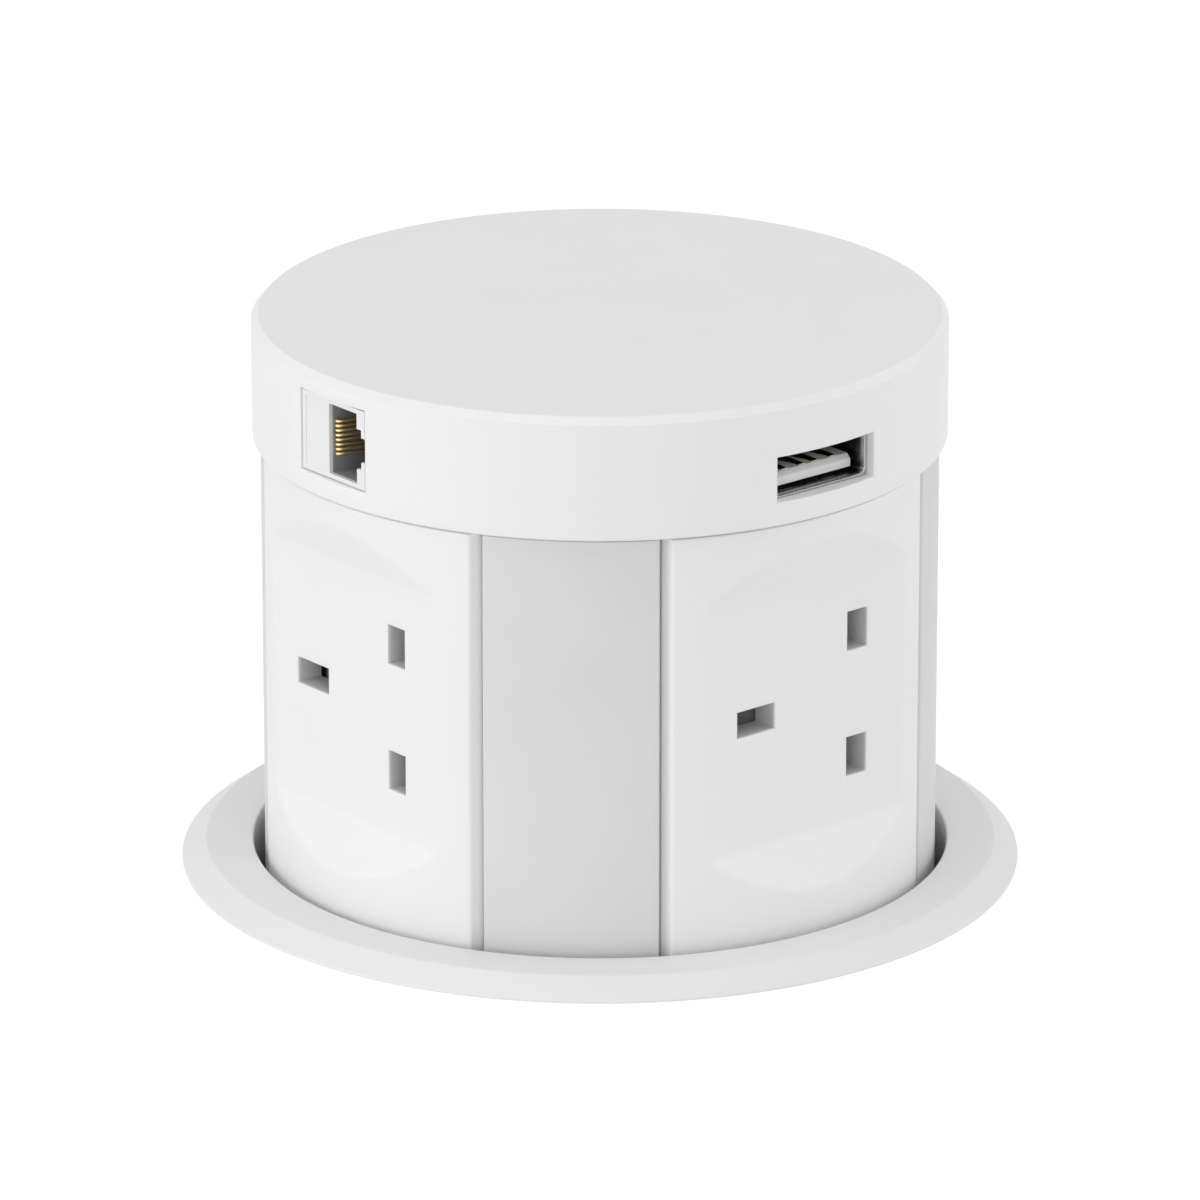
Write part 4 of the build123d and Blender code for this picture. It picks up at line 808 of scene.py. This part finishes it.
# %% Network jacks
MOUTH_MIDDLE_Z = (jack_low.z + jack_high.z) / 2
MOUTH_DEPTH = 12.5 * MM
MOUTH_STEPS = (
    (-0.45 * MM, 6.8 * MM, 12.15 * MM),
    (0.5 * MM, 7.95 * MM, 6.9 * MM),
    (0.5 * MM, jack_high.x + MM, 4.2 * MM),
)
JACK_FACE_W = -jack_low.y
JACK_BACK_W = -jack_high.y
JACK_PLATE_T = 0.77 * MM
PLATE_INSET = 0.16 * MM
PLATE_ROUND = 0.07 * MM
LABEL_U = (-6.65 * MM, -1.6 * MM)
LABEL_HALF_H = 6 * MM
LABEL_DEPTH = 0.2 * MM
INSERT_LUG_H = 4 * MM
INSERT_LUG_DEPTH = 9 * MM
INSERT_ROUND = 0.1 * MM


def mouth_cuts(front_w, back_w):
    """The steps of the mouth as boxes between two depths."""
    cuts = []
    for left, right, height in MOUTH_STEPS:
        cuts.append(((left, right), (back_w, front_w), about(MOUTH_MIDDLE_Z, height / 2)))
    return cuts


def make_jack_plate():
    """The white plate with the mouth and the sunk label field."""
    back_w = JACK_FACE_W - JACK_PLATE_T
    z = (jack_low.z + PLATE_INSET / 2, jack_high.z - PLATE_INSET / 2)
    solid = ((jack_low.x + PLATE_INSET, jack_high.x), (back_w, JACK_FACE_W), z)
    label_w = (JACK_FACE_W - LABEL_DEPTH, JACK_FACE_W + MM)
    cuts = mouth_cuts(JACK_FACE_W + MM, back_w - MM)
    cuts.append((LABEL_U, label_w, about(MOUTH_MIDDLE_Z, LABEL_HALF_H)))
    return carved([solid], cuts, PLATE_ROUND)


def make_jack_insert():
    """The insert behind the plate, with two lugs at its back."""
    front_w = JACK_FACE_W - JACK_PLATE_T
    solid = ((jack_low.x, jack_high.x), (JACK_BACK_W, front_w), (jack_low.z, jack_high.z))
    cuts = mouth_cuts(front_w + MM, JACK_FACE_W - MOUTH_DEPTH)
    half_gap = (jack_high.z - jack_low.z) / 2 - INSERT_LUG_H
    gap_w = (JACK_BACK_W - MM, JACK_BACK_W + INSERT_LUG_DEPTH)
    cuts.append(((jack_low.x - MM, jack_high.x + MM), gap_w, about(MOUTH_MIDDLE_Z, half_gap)))
    return carved([solid], cuts, INSERT_ROUND)


# %% [markdown]
# Each wire is a small tube that bends round the mouth's wall and then runs into the depth.

# %% Wires of the jacks
WIRE_COUNT = 8
WIRE_PITCH = 0.81 * MM
WIRE_R = 0.3 * MM
WIRE_BEND_R = 0.4 * MM
WIRE_BEND_TURNS = range(-90, 72, 18)
WIRE_SLOPE = radians(19)
WIRE_FOOT_U = -0.45 * MM
WIRE_TIP_W = JACK_FACE_W - 1.0 * MM
WIRE_LENGTHS = (MM, 3 * MM, 7 * MM)


def make_wires():
    """Eight wires, each a bend at the mouth's wall and a straight run into the depth."""
    bm = bmesh.new()
    along = Vector((sin(WIRE_SLOPE), cos(WIRE_SLOPE), 0))
    for k in range(WIRE_COUNT):
        z = MOUTH_MIDDLE_Z + WIRE_PITCH * (k - (WIRE_COUNT - 1) / 2)
        path = []
        for turn in WIRE_BEND_TURNS:
            u = WIRE_BEND_R * (1 + sin(radians(turn))) + WIRE_FOOT_U
            w = WIRE_TIP_W - WIRE_R - WIRE_BEND_R * (1 - cos(radians(turn)))
            path.append(Vector((u, -w, z)))
        path += [path[-1] + along * length for length in WIRE_LENGTHS]
        tube(bm, path, WIRE_R, 12)
    return bm


for side in ("front", "back"):
    azimuth = SIDES[side]
    replaced = ["network_jack_" + side]
    name = "jack_plate_" + side
    add_piece(name, make_jack_plate(), "column", "jack_white", azimuth, replaced, sharp=20)
    name = "jack_insert_" + side
    add_piece(name, make_jack_insert(), "column", "barrel_grey", azimuth, sharp=20)
    wires = add_piece("jack_wires_" + side, make_wires(), "column", "gold", azimuth)
    if side == "front":
        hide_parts("network_wires")
print("wires in each jack:", WIRE_COUNT)

# %% [markdown]
# A USB port is a folded metal shell with rolled front edges. Spring tabs are cut out of its floor,
# and a white tongue carries four gold contacts. Both sit behind the cap's wall.

# %% Sizes of the USB ports
USB_RIM_W = usb_high.x
USB_BACK_W = usb_low.x
USB_HALF_W = usb_high.y
USB_SHEET = 0.45 * MM
USB_FLOOR = usb_low.z + USB_SHEET
USB_MIDDLE_Z = (usb_low.z + usb_high.z) / 2
USB_HALF_H = (usb_high.z - usb_low.z) / 2
USB_STAGES = (
    (0, 1.4 * MM, USB_BACK_W),
    (0, 1.4 * MM, USB_RIM_W - 0.15 * MM),
    (0.1 * MM, 1.3 * MM, USB_RIM_W - 0.03 * MM),
    (USB_SHEET - 0.15 * MM, 1.15 * MM, USB_RIM_W),
    (USB_SHEET, MM, USB_RIM_W - 0.25 * MM),
    (USB_SHEET, MM, USB_BACK_W + USB_SHEET),
)
TAB_PLACES = (-6.4 * MM, 2.9 * MM)
TAB_HALF_W = 1.5 * MM
TAB_BACK_W = USB_RIM_W - 8 * MM
TAB_TIP_W = USB_RIM_W - 1.3 * MM
TAB_SLOT = 0.35 * MM
TAB_SLOT_TIP_W = USB_RIM_W - 1.0 * MM
TAB_ROUND = 0.07 * MM
CONTACT_PLACES = (-5.25 * MM, -1.5 * MM, 1.5 * MM, 5.25 * MM)
CONTACT_HALF_W = 0.75 * MM
CONTACT_ROUND = 0.06 * MM
tongue_low, tongue_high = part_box("usb_tongue_right")
TONGUE_HALF_W = tongue_high.y
TONGUE_TOP = tongue_low.z + 2.85 * MM
TONGUE_LOW = TONGUE_TOP - 2.2 * MM
TONGUE_TIP_W = tongue_high.x
TONGUE_CHAMFER = 0.8 * MM
TONGUE_TIP_ROUND = 0.15 * MM
TONGUE_SIDE_ROUND = 0.12 * MM
# Painted shadow: dark wedges where the contacts shade the tongue's top.
SHADOW_WEDGE_TIP_W = TONGUE_TIP_W - 2.2 * MM
SHADOW_WEDGE_BACK_W = TONGUE_TIP_W - 7 * MM
SHADOW_WEDGE_WIDTH = 1.2 * MM
print("port opening", round(2 * USB_HALF_W / MM, 1), "by", round(2 * USB_HALF_H / MM, 1), "mm")

# %% [markdown]
# Shell, tongue and painted shadow wedges join rings of points; tabs and contacts are carved boxes.

# %% USB ports
def oval(inset, radius, w):
    """Points of a rounded rectangle at one depth of a port."""
    half_w, half_h = USB_HALF_W - inset, USB_HALF_H - inset
    corners = ((-half_w, -half_h), (half_w, -half_h), (half_w, half_h), (-half_w, half_h))
    outline = rounded([(*corner, radius) for corner in corners], 6)
    return [Vector((u, -w, USB_MIDDLE_Z + z)) for u, z in outline]


def make_usb_shell():
    """Outside back to front, over the rolled rim, and inside to the back again."""
    bm = bmesh.new()
    skin(bm, [[bm.verts.new(p) for p in oval(*stage)] for stage in USB_STAGES])
    return bm


def make_tabs():
    """Spring tabs that stand a little off the shell's floor."""
    z = (USB_FLOOR + 0.03 * MM, USB_FLOOR + 0.2 * MM)
    w = (TAB_BACK_W, TAB_TIP_W)
    return carved([(about(middle, TAB_HALF_W), w, z) for middle in TAB_PLACES], [], TAB_ROUND)


def make_painted_shade_patches():
    """Painted shade in the gaps round the tabs, and painted shadow wedges beside the contacts."""
    bm = bmesh.new()
    slot_shade_z = (USB_FLOOR - 0.2 * MM, USB_FLOOR + 0.02 * MM)
    for middle in TAB_PLACES:
        add_box(bm, about(middle, TAB_HALF_W + TAB_SLOT), (TAB_BACK_W, TAB_SLOT_TIP_W), slot_shade_z)
    shadow_wedge_z = (TONGUE_TOP - 0.1 * MM, TONGUE_TOP + 0.02 * MM)
    for middle in CONTACT_PLACES:
        u = middle - CONTACT_HALF_W
        corners = ((u, SHADOW_WEDGE_TIP_W), (u, SHADOW_WEDGE_BACK_W), (u - SHADOW_WEDGE_WIDTH, SHADOW_WEDGE_BACK_W))
        skin(bm, [[bm.verts.new((a, -w, z)) for a, w in corners] for z in shadow_wedge_z])
    return bm


def make_tongue():
    """The tongue, swept across its width, with a chamfer at the tip."""
    back_w = USB_BACK_W + USB_SHEET
    points = [
        (back_w, TONGUE_LOW, 0),
        (TONGUE_TIP_W, TONGUE_LOW, TONGUE_TIP_ROUND),
        (TONGUE_TIP_W, TONGUE_TOP - TONGUE_CHAMFER, TONGUE_TIP_ROUND),
        (TONGUE_TIP_W - TONGUE_CHAMFER, TONGUE_TOP, TONGUE_TIP_ROUND),
        (back_w, TONGUE_TOP, 0),
    ]
    outline = rounded(points, 3)
    bm = bmesh.new()
    ends = (-TONGUE_HALF_W, TONGUE_HALF_W)
    skin(bm, [[bm.verts.new((u, -w, z)) for w, z in outline] for u in ends])
    bmesh.ops.recalc_face_normals(bm, faces=bm.faces)
    soften(bm, TONGUE_SIDE_ROUND, lambda middle: abs(middle.x) > TONGUE_HALF_W - 0.01 * MM)
    return bm


def make_contacts():
    """Four gold contacts on the tongue's top."""
    w = (USB_BACK_W + 3 * MM, TONGUE_TIP_W - MM)
    z = (TONGUE_TOP - 0.05 * MM, TONGUE_TOP + 0.1 * MM)
    boxes = [(about(middle, CONTACT_HALF_W), w, z) for middle in CONTACT_PLACES]
    return carved(boxes, [], CONTACT_ROUND)


for side in ("right", "left"):
    azimuth = SIDES[side]
    replaced = ["usb_shell_" + side]
    add_piece("port_shell_" + side, make_usb_shell(), "column", "shell_steel", azimuth, replaced)
    add_piece("port_tabs_" + side, make_tabs(), "column", "shell_steel", azimuth)
    # Painted shade: black patches in the gaps round the tabs and painted shadow wedges by the
    # contacts.
    add_piece("port_painted_shade_" + side, make_painted_shade_patches(), "column", "gland_black", azimuth)
    replaced = ["usb_tongue_" + side]
    name = "port_tongue_" + side
    add_piece(name, make_tongue(), "column", "tongue_white", azimuth, replaced, 10)
    contacts = add_piece("port_contacts_" + side, make_contacts(), "column", "gold", azimuth)
    if side == "right":
        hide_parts("usb_contacts")
print("contacts in each port:", len(CONTACT_PLACES))

# %% [markdown]
# Springs and the curled lead are helices. A helix is a list of points from a loop.

# %% Springs and the curled lead
SPRING_WIRE_R = 0.13 * MM
SPRING_TURNS = 9
LEAD_TURNS = 22
LEAD_R = 2.3 * MM


def helix(start, end, radius, turns, steps):
    """Points of a helix round the straight line from start to end."""
    axis = end - start
    side = axis.orthogonal().normalized()
    other = axis.normalized().cross(side)
    points = []
    for k in range(turns * steps + 1):
        angle = 2 * pi * k / steps
        middle = start + axis * (k / (turns * steps))
        points.append(middle + (side * cos(angle) + other * sin(angle)) * radius)
    return points


for side, azimuth in SIDES.items():
    low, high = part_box("shutter_spring_" + side)
    middle = (low + high) / 2
    along = 0 if side in ("front", "back") else 1
    start, end = middle.copy(), middle.copy()
    start[along], end[along] = low[along], high[along]
    way = (end - start).normalized()
    inset = way * SPRING_WIRE_R
    coil_r = (high.z - low.z) / 2 - SPRING_WIRE_R
    bm = bmesh.new()
    tube(bm, helix(start + inset, end - inset, coil_r, SPRING_TURNS, 14), SPRING_WIRE_R, 6)
    replaced = ["shutter_spring_" + side]
    spring = add_piece("coil_" + side, bm, "column", "spring_steel", nodes=replaced)
    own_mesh(spring)

lead_low, lead_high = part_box("internal_lead")
lead_middle = (lead_low + lead_high) / 2
coil_r = (lead_high.x - lead_low.x) / 2 - LEAD_R
start = Vector((lead_middle.x, lead_middle.y, lead_low.z + LEAD_R))
end = Vector((lead_middle.x, lead_middle.y, lead_high.z - LEAD_R))
bm = bmesh.new()
tube(bm, helix(start, end, coil_r, LEAD_TURNS, 20), LEAD_R, 10)
lead = add_piece("curled_lead", bm, "root", "lead_rubber", nodes=["internal_lead"])
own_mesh(lead)

# %% [markdown]
# A thread is a wall whose radius depends on both the angle and the height. The barrel has a coarse
# one for its ring nut, and the lead screw a fine one with four starts.

# %% Threaded barrel
BARREL_PITCH = 5.0 * MM
BARREL_THREAD_DEPTH = 0.7 * MM
BARREL_THREAD_TOP = -8 * MM
BARREL_NECK_LOW = -7 * MM
BARREL_FOOT_H = 6 * MM
BARREL_FLANGE_T = 1.2 * MM
BARREL_COLUMNS = 144
barrel_low, barrel_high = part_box("barrel")
BARREL_R = reach("base_plate")
BARREL_BORE_R = COLLAR_R + 0.2 * MM
BARREL_FLANGE_R = reach("barrel")


def ridge(share):
    """Height of a trapezoid thread, from 0 at the root to 1 at the crest."""
    share = share % 1
    return min(1, max(0, 2.5 - abs(share - 0.5) * 6))


def thread_r(angle, z, crest_r, depth, lead_length, starts):
    """Radius of a thread's skin at an angle and a height."""
    return crest_r - depth * (1 - ridge(starts * (z / lead_length - angle / (2 * pi))))


def make_barrel():
    """The barrel from its plain foot over the thread to the flange under the ring."""
    zs = lines([barrel_low.z, BARREL_THREAD_TOP], BARREL_PITCH / 8)
    flange_low = barrel_high.z - BARREL_FLANGE_T
    plain = [
        (BARREL_R, BARREL_NECK_LOW),
        (BARREL_R, flange_low),
        (BARREL_FLANGE_R, flange_low),
        (BARREL_FLANGE_R, barrel_high.z),
    ]

    def front(i, j):
        angle = 2 * pi * i / BARREL_COLUMNS
        if j >= len(zs):
            r, z = plain[j - len(zs)]
        elif zs[j] < barrel_low.z + BARREL_FOOT_H:
            r, z = BARREL_R, zs[j]
        else:
            z = zs[j]
            r = thread_r(angle, z, BARREL_R, BARREL_THREAD_DEPTH, BARREL_PITCH, 1)
        return (r * cos(angle), r * sin(angle), z)

    def back(i, j):
        angle = 2 * pi * i / BARREL_COLUMNS
        z = front(i, j)[2]
        if j >= len(zs):
            share = (j - len(zs)) / (len(plain) - 1)
            z = BARREL_NECK_LOW + (barrel_high.z - BARREL_NECK_LOW) * share
        return (BARREL_BORE_R * cos(angle), BARREL_BORE_R * sin(angle), z)

    return walled_grid(BARREL_COLUMNS, len(zs) + len(plain), front, back, wrap=True)


add_piece("barrel_thread", make_barrel(), "root", "barrel_grey", nodes=["barrel"])
print("barrel radius", round(BARREL_R / MM, 2), "mm")

# %% [markdown]
# The lead screw is a stack of rings. Where a stage gives no radius, the thread does.

# %% Lead screw
SCREW_LEAD = 8.0 * MM
SCREW_STARTS = 4
SCREW_THREAD_DEPTH = 0.55 * MM
SCREW_CREST_R = 4.0 * MM
SCREW_COLLAR_GAP = 0.3 * MM
SCREW_COLLAR_T = 2 * MM
SCREW_STEP = 0.4 * MM
SCREW_COLUMNS = 32


def make_lead_screw():
    """The lead screw: a plain foot, a collar, the thread, and a tapered end."""
    low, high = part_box("lead_screw")
    collar_r = reach("lead_screw")
    collar_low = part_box("base_plate")[1].z + SCREW_COLLAR_GAP
    collar_top = collar_low + SCREW_COLLAR_T
    thread_top = high.z - MM
    stages = [(low.z, SCREW_CREST_R), (collar_low, SCREW_CREST_R), (collar_low, collar_r)]
    stages += [(collar_top, collar_r), (collar_top, SCREW_CREST_R)]
    stages += [(z, None) for z in lines([collar_top + MM, thread_top], SCREW_STEP)]
    stages.append((thread_top, SCREW_CREST_R - SCREW_THREAD_DEPTH))
    stages.append((high.z, SCREW_CREST_R - 2 * SCREW_THREAD_DEPTH))
    thread = (SCREW_CREST_R, SCREW_THREAD_DEPTH, SCREW_LEAD, SCREW_STARTS)
    bm = bmesh.new()
    rings = []
    for z, r in stages:
        ring = []
        for k in range(SCREW_COLUMNS):
            angle = 2 * pi * k / SCREW_COLUMNS
            here = r or thread_r(angle, z, *thread)
            ring.append(bm.verts.new((here * cos(angle), here * sin(angle), z)))
        rings.append(ring)
    skin(bm, rings)
    return bm


add_piece("screw_thread", make_lead_screw(), "lead_screw", "rod_steel", nodes=["lead_screw"])
print("screw lead", round(SCREW_LEAD / MM, 2), "mm with", SCREW_STARTS, "starts")

# %% [markdown]
# The CAD pieces that stay get softened edges from modifiers: their points are welded and their
# sharp edges get a small bevel, which leaves their own meshes as they are.

# %% Soften the CAD pieces that stay
WELD_DISTANCE = 0.002 * MM
SHUTTER_ROUND_MM = 0.15
SOFT_NODES_MM = {
    "clamp_washer": 0.3,
    "lock_nut": 0.6,
    "base_plate": 0.4,
    "bottom_cover": 0.8,
    "mains_gland": 0.3,
    "data_gland": 0.3,
    "column_frame": 0.2,
    "carriage": 0.3,
    "gear_motor": 0.4,
    "motor_bracket": 0.3,
    "terminal_block": 0.3,
}
for side in SIDES:
    SOFT_NODES_MM["shutter_" + side] = SHUTTER_ROUND_MM
for node, width in SOFT_NODES_MM.items():
    weld = frame["nodes"][node].modifiers.new("weld", "WELD")
    weld.merge_threshold = WELD_DISTANCE
    round_edges(frame["nodes"][node], width * MM)
print("softened CAD pieces:", len(SOFT_NODES_MM))

# %% [markdown]
# The desk is a wide pale plane with a hole for the barrel. For the camera it is close to white,
# and it keeps a trace of the object's shadow. It is not part of the object.

# %% Desk plane
DESK_R = 6.0
DESK_HOLE_R = BARREL_R + 1 * MM
DESK_Z = -0.05 * MM
DESK_SEGMENTS = 96
DESK_PAPER = (0.88, 0.88, 0.88, 1)
DESK_SEEN = (0.4, 0.4, 0.4, 1)
DESK_GLOW = 0.78


def direct_rays(tree):
    """1 for rays from the camera and for reflected or refracted ones."""
    rays = tree.nodes.new("ShaderNodeLightPath").outputs
    total = calculate(tree, "MAXIMUM", rays["Is Camera Ray"], rays["Is Glossy Ray"])
    return calculate(tree, "MAXIMUM", total, rays["Is Transmission Ray"])


def mix_shaders(tree, factor, first, second):
    """The first shader where the factor is 0 and the second one where it is 1."""
    mix = tree.nodes.new("ShaderNodeMixShader")
    for socket, value in zip(mix.inputs, (factor, first, second)):
        tree.links.new(value, socket)
    return mix.outputs["Shader"]


def stage_material():
    """White for the camera with a share of real shading, plain pale paint for other rays."""
    material = bpy.data.materials.new("desk_paper")
    material.use_nodes = True
    tree = material.node_tree
    paper = tree.nodes["Principled BSDF"]
    paper.inputs["Base Color"].default_value = DESK_PAPER
    paper.inputs["Roughness"].default_value = 0.9
    seen = tree.nodes.new("ShaderNodeBsdfDiffuse")
    seen.inputs["Color"].default_value = DESK_SEEN
    glow = tree.nodes.new("ShaderNodeEmission")
    glow.inputs["Strength"].default_value = DESK_GLOW
    both = tree.nodes.new("ShaderNodeAddShader")
    tree.links.new(seen.outputs["BSDF"], both.inputs[0])
    tree.links.new(glow.outputs["Emission"], both.inputs[1])
    paint = mix_shaders(tree, direct_rays(tree), paper.outputs["BSDF"], both.outputs["Shader"])
    tree.links.new(paint, tree.nodes["Material Output"].inputs["Surface"])
    return material


bm = bmesh.new()
inner, outer = [], []
for c, s in around(DESK_SEGMENTS):
    inner.append(bm.verts.new((DESK_HOLE_R * c, DESK_HOLE_R * s, DESK_Z)))
    outer.append(bm.verts.new((DESK_R * c, DESK_R * s, DESK_Z)))
for k in range(DESK_SEGMENTS):
    n = (k + 1) % DESK_SEGMENTS
    bm.faces.new([inner[k], outer[k], outer[n], inner[n]])
desk = to_object("desk_top", bm)
desk.data.materials.append(stage_material())
print("hole in the desk:", round(2 * DESK_HOLE_R / MM, 1), "mm")

# %% [markdown]
# The photo is lit by a soft even light, a little stronger from the viewer's left. The world gives
# the even part. Wide lamps low on the left, beside the camera, behind on the right and above give
# the rest: their strengths were fitted to the tones of the photo's white faces.

# %% World and lamps
WORLD_LIGHT = 0.484
WHITE = (1, 1, 1, 1)
AIM = Vector((0, 0, 45 * MM))
LAMP_DISTANCE = 1.6
LAMP_SIZE = 1.2

world = bpy.data.worlds.new("studio")
bpy.context.scene.world = world
world.use_nodes = True
tree = world.node_tree
light = tree.nodes["Background"]
white = tree.nodes.new("ShaderNodeBackground")
for background, strength in ((light, WORLD_LIGHT), (white, 1.0)):
    background.inputs["Color"].default_value = WHITE
    background.inputs["Strength"].default_value = strength
sky = mix_shaders(
    tree, direct_rays(tree), light.outputs["Background"], white.outputs["Background"]
)
tree.links.new(sky, tree.nodes["World Output"].inputs["Surface"])


def lamp(name, azimuth, elevation, power):
    """A square lamp that looks at the socket; azimuth 0 is in front, 90 to the right."""
    data = bpy.data.lights.new(name, "AREA")
    data.size = LAMP_SIZE
    data.energy = power
    obj = bpy.data.objects.new(name, data)
    a, e = radians(azimuth), radians(elevation)
    way = Vector((sin(a) * cos(e), -cos(a) * cos(e), sin(e)))
    obj.location = AIM + way * LAMP_DISTANCE
    obj.rotation_euler = (AIM - obj.location).to_track_quat("-Z", "Y").to_euler()
    bpy.context.scene.collection.objects.link(obj)


lamp("key_left", -20, 4, 10.6)
lamp("front_fill", 50, 8, 5.6)
lamp("rim_right", 150, 15, 6.5)
lamp("top_soft", 20, 75, 5.5)
print("lamps:", len(bpy.data.lights))

# %% [markdown]
# The camera stands where the photo's circles and pin apertures say that it stood. It was fitted to
# them once, and the numbers below are the result.

# %% Camera
CAMERA_AZIMUTH = radians(49.97)
CAMERA_DISTANCE = 1585.4 * MM
CAMERA_HEIGHT = 602.65 * MM
CAMERA_PITCH = radians(19.369)
CAMERA_LENS = 296.865
CAMERA_SENSOR = 36.0

camera = bpy.data.objects.new("camera", bpy.data.cameras.new("camera"))
camera.data.lens = CAMERA_LENS
camera.data.sensor_width = CAMERA_SENSOR
camera.location = (
    CAMERA_DISTANCE * sin(CAMERA_AZIMUTH),
    -CAMERA_DISTANCE * cos(CAMERA_AZIMUTH),
    CAMERA_HEIGHT,
)
camera.rotation_euler = (pi / 2 - CAMERA_PITCH, 0, CAMERA_AZIMUTH)
bpy.context.scene.collection.objects.link(camera)
bpy.context.scene.camera = camera
bpy.context.scene.view_settings.view_transform = "Standard"
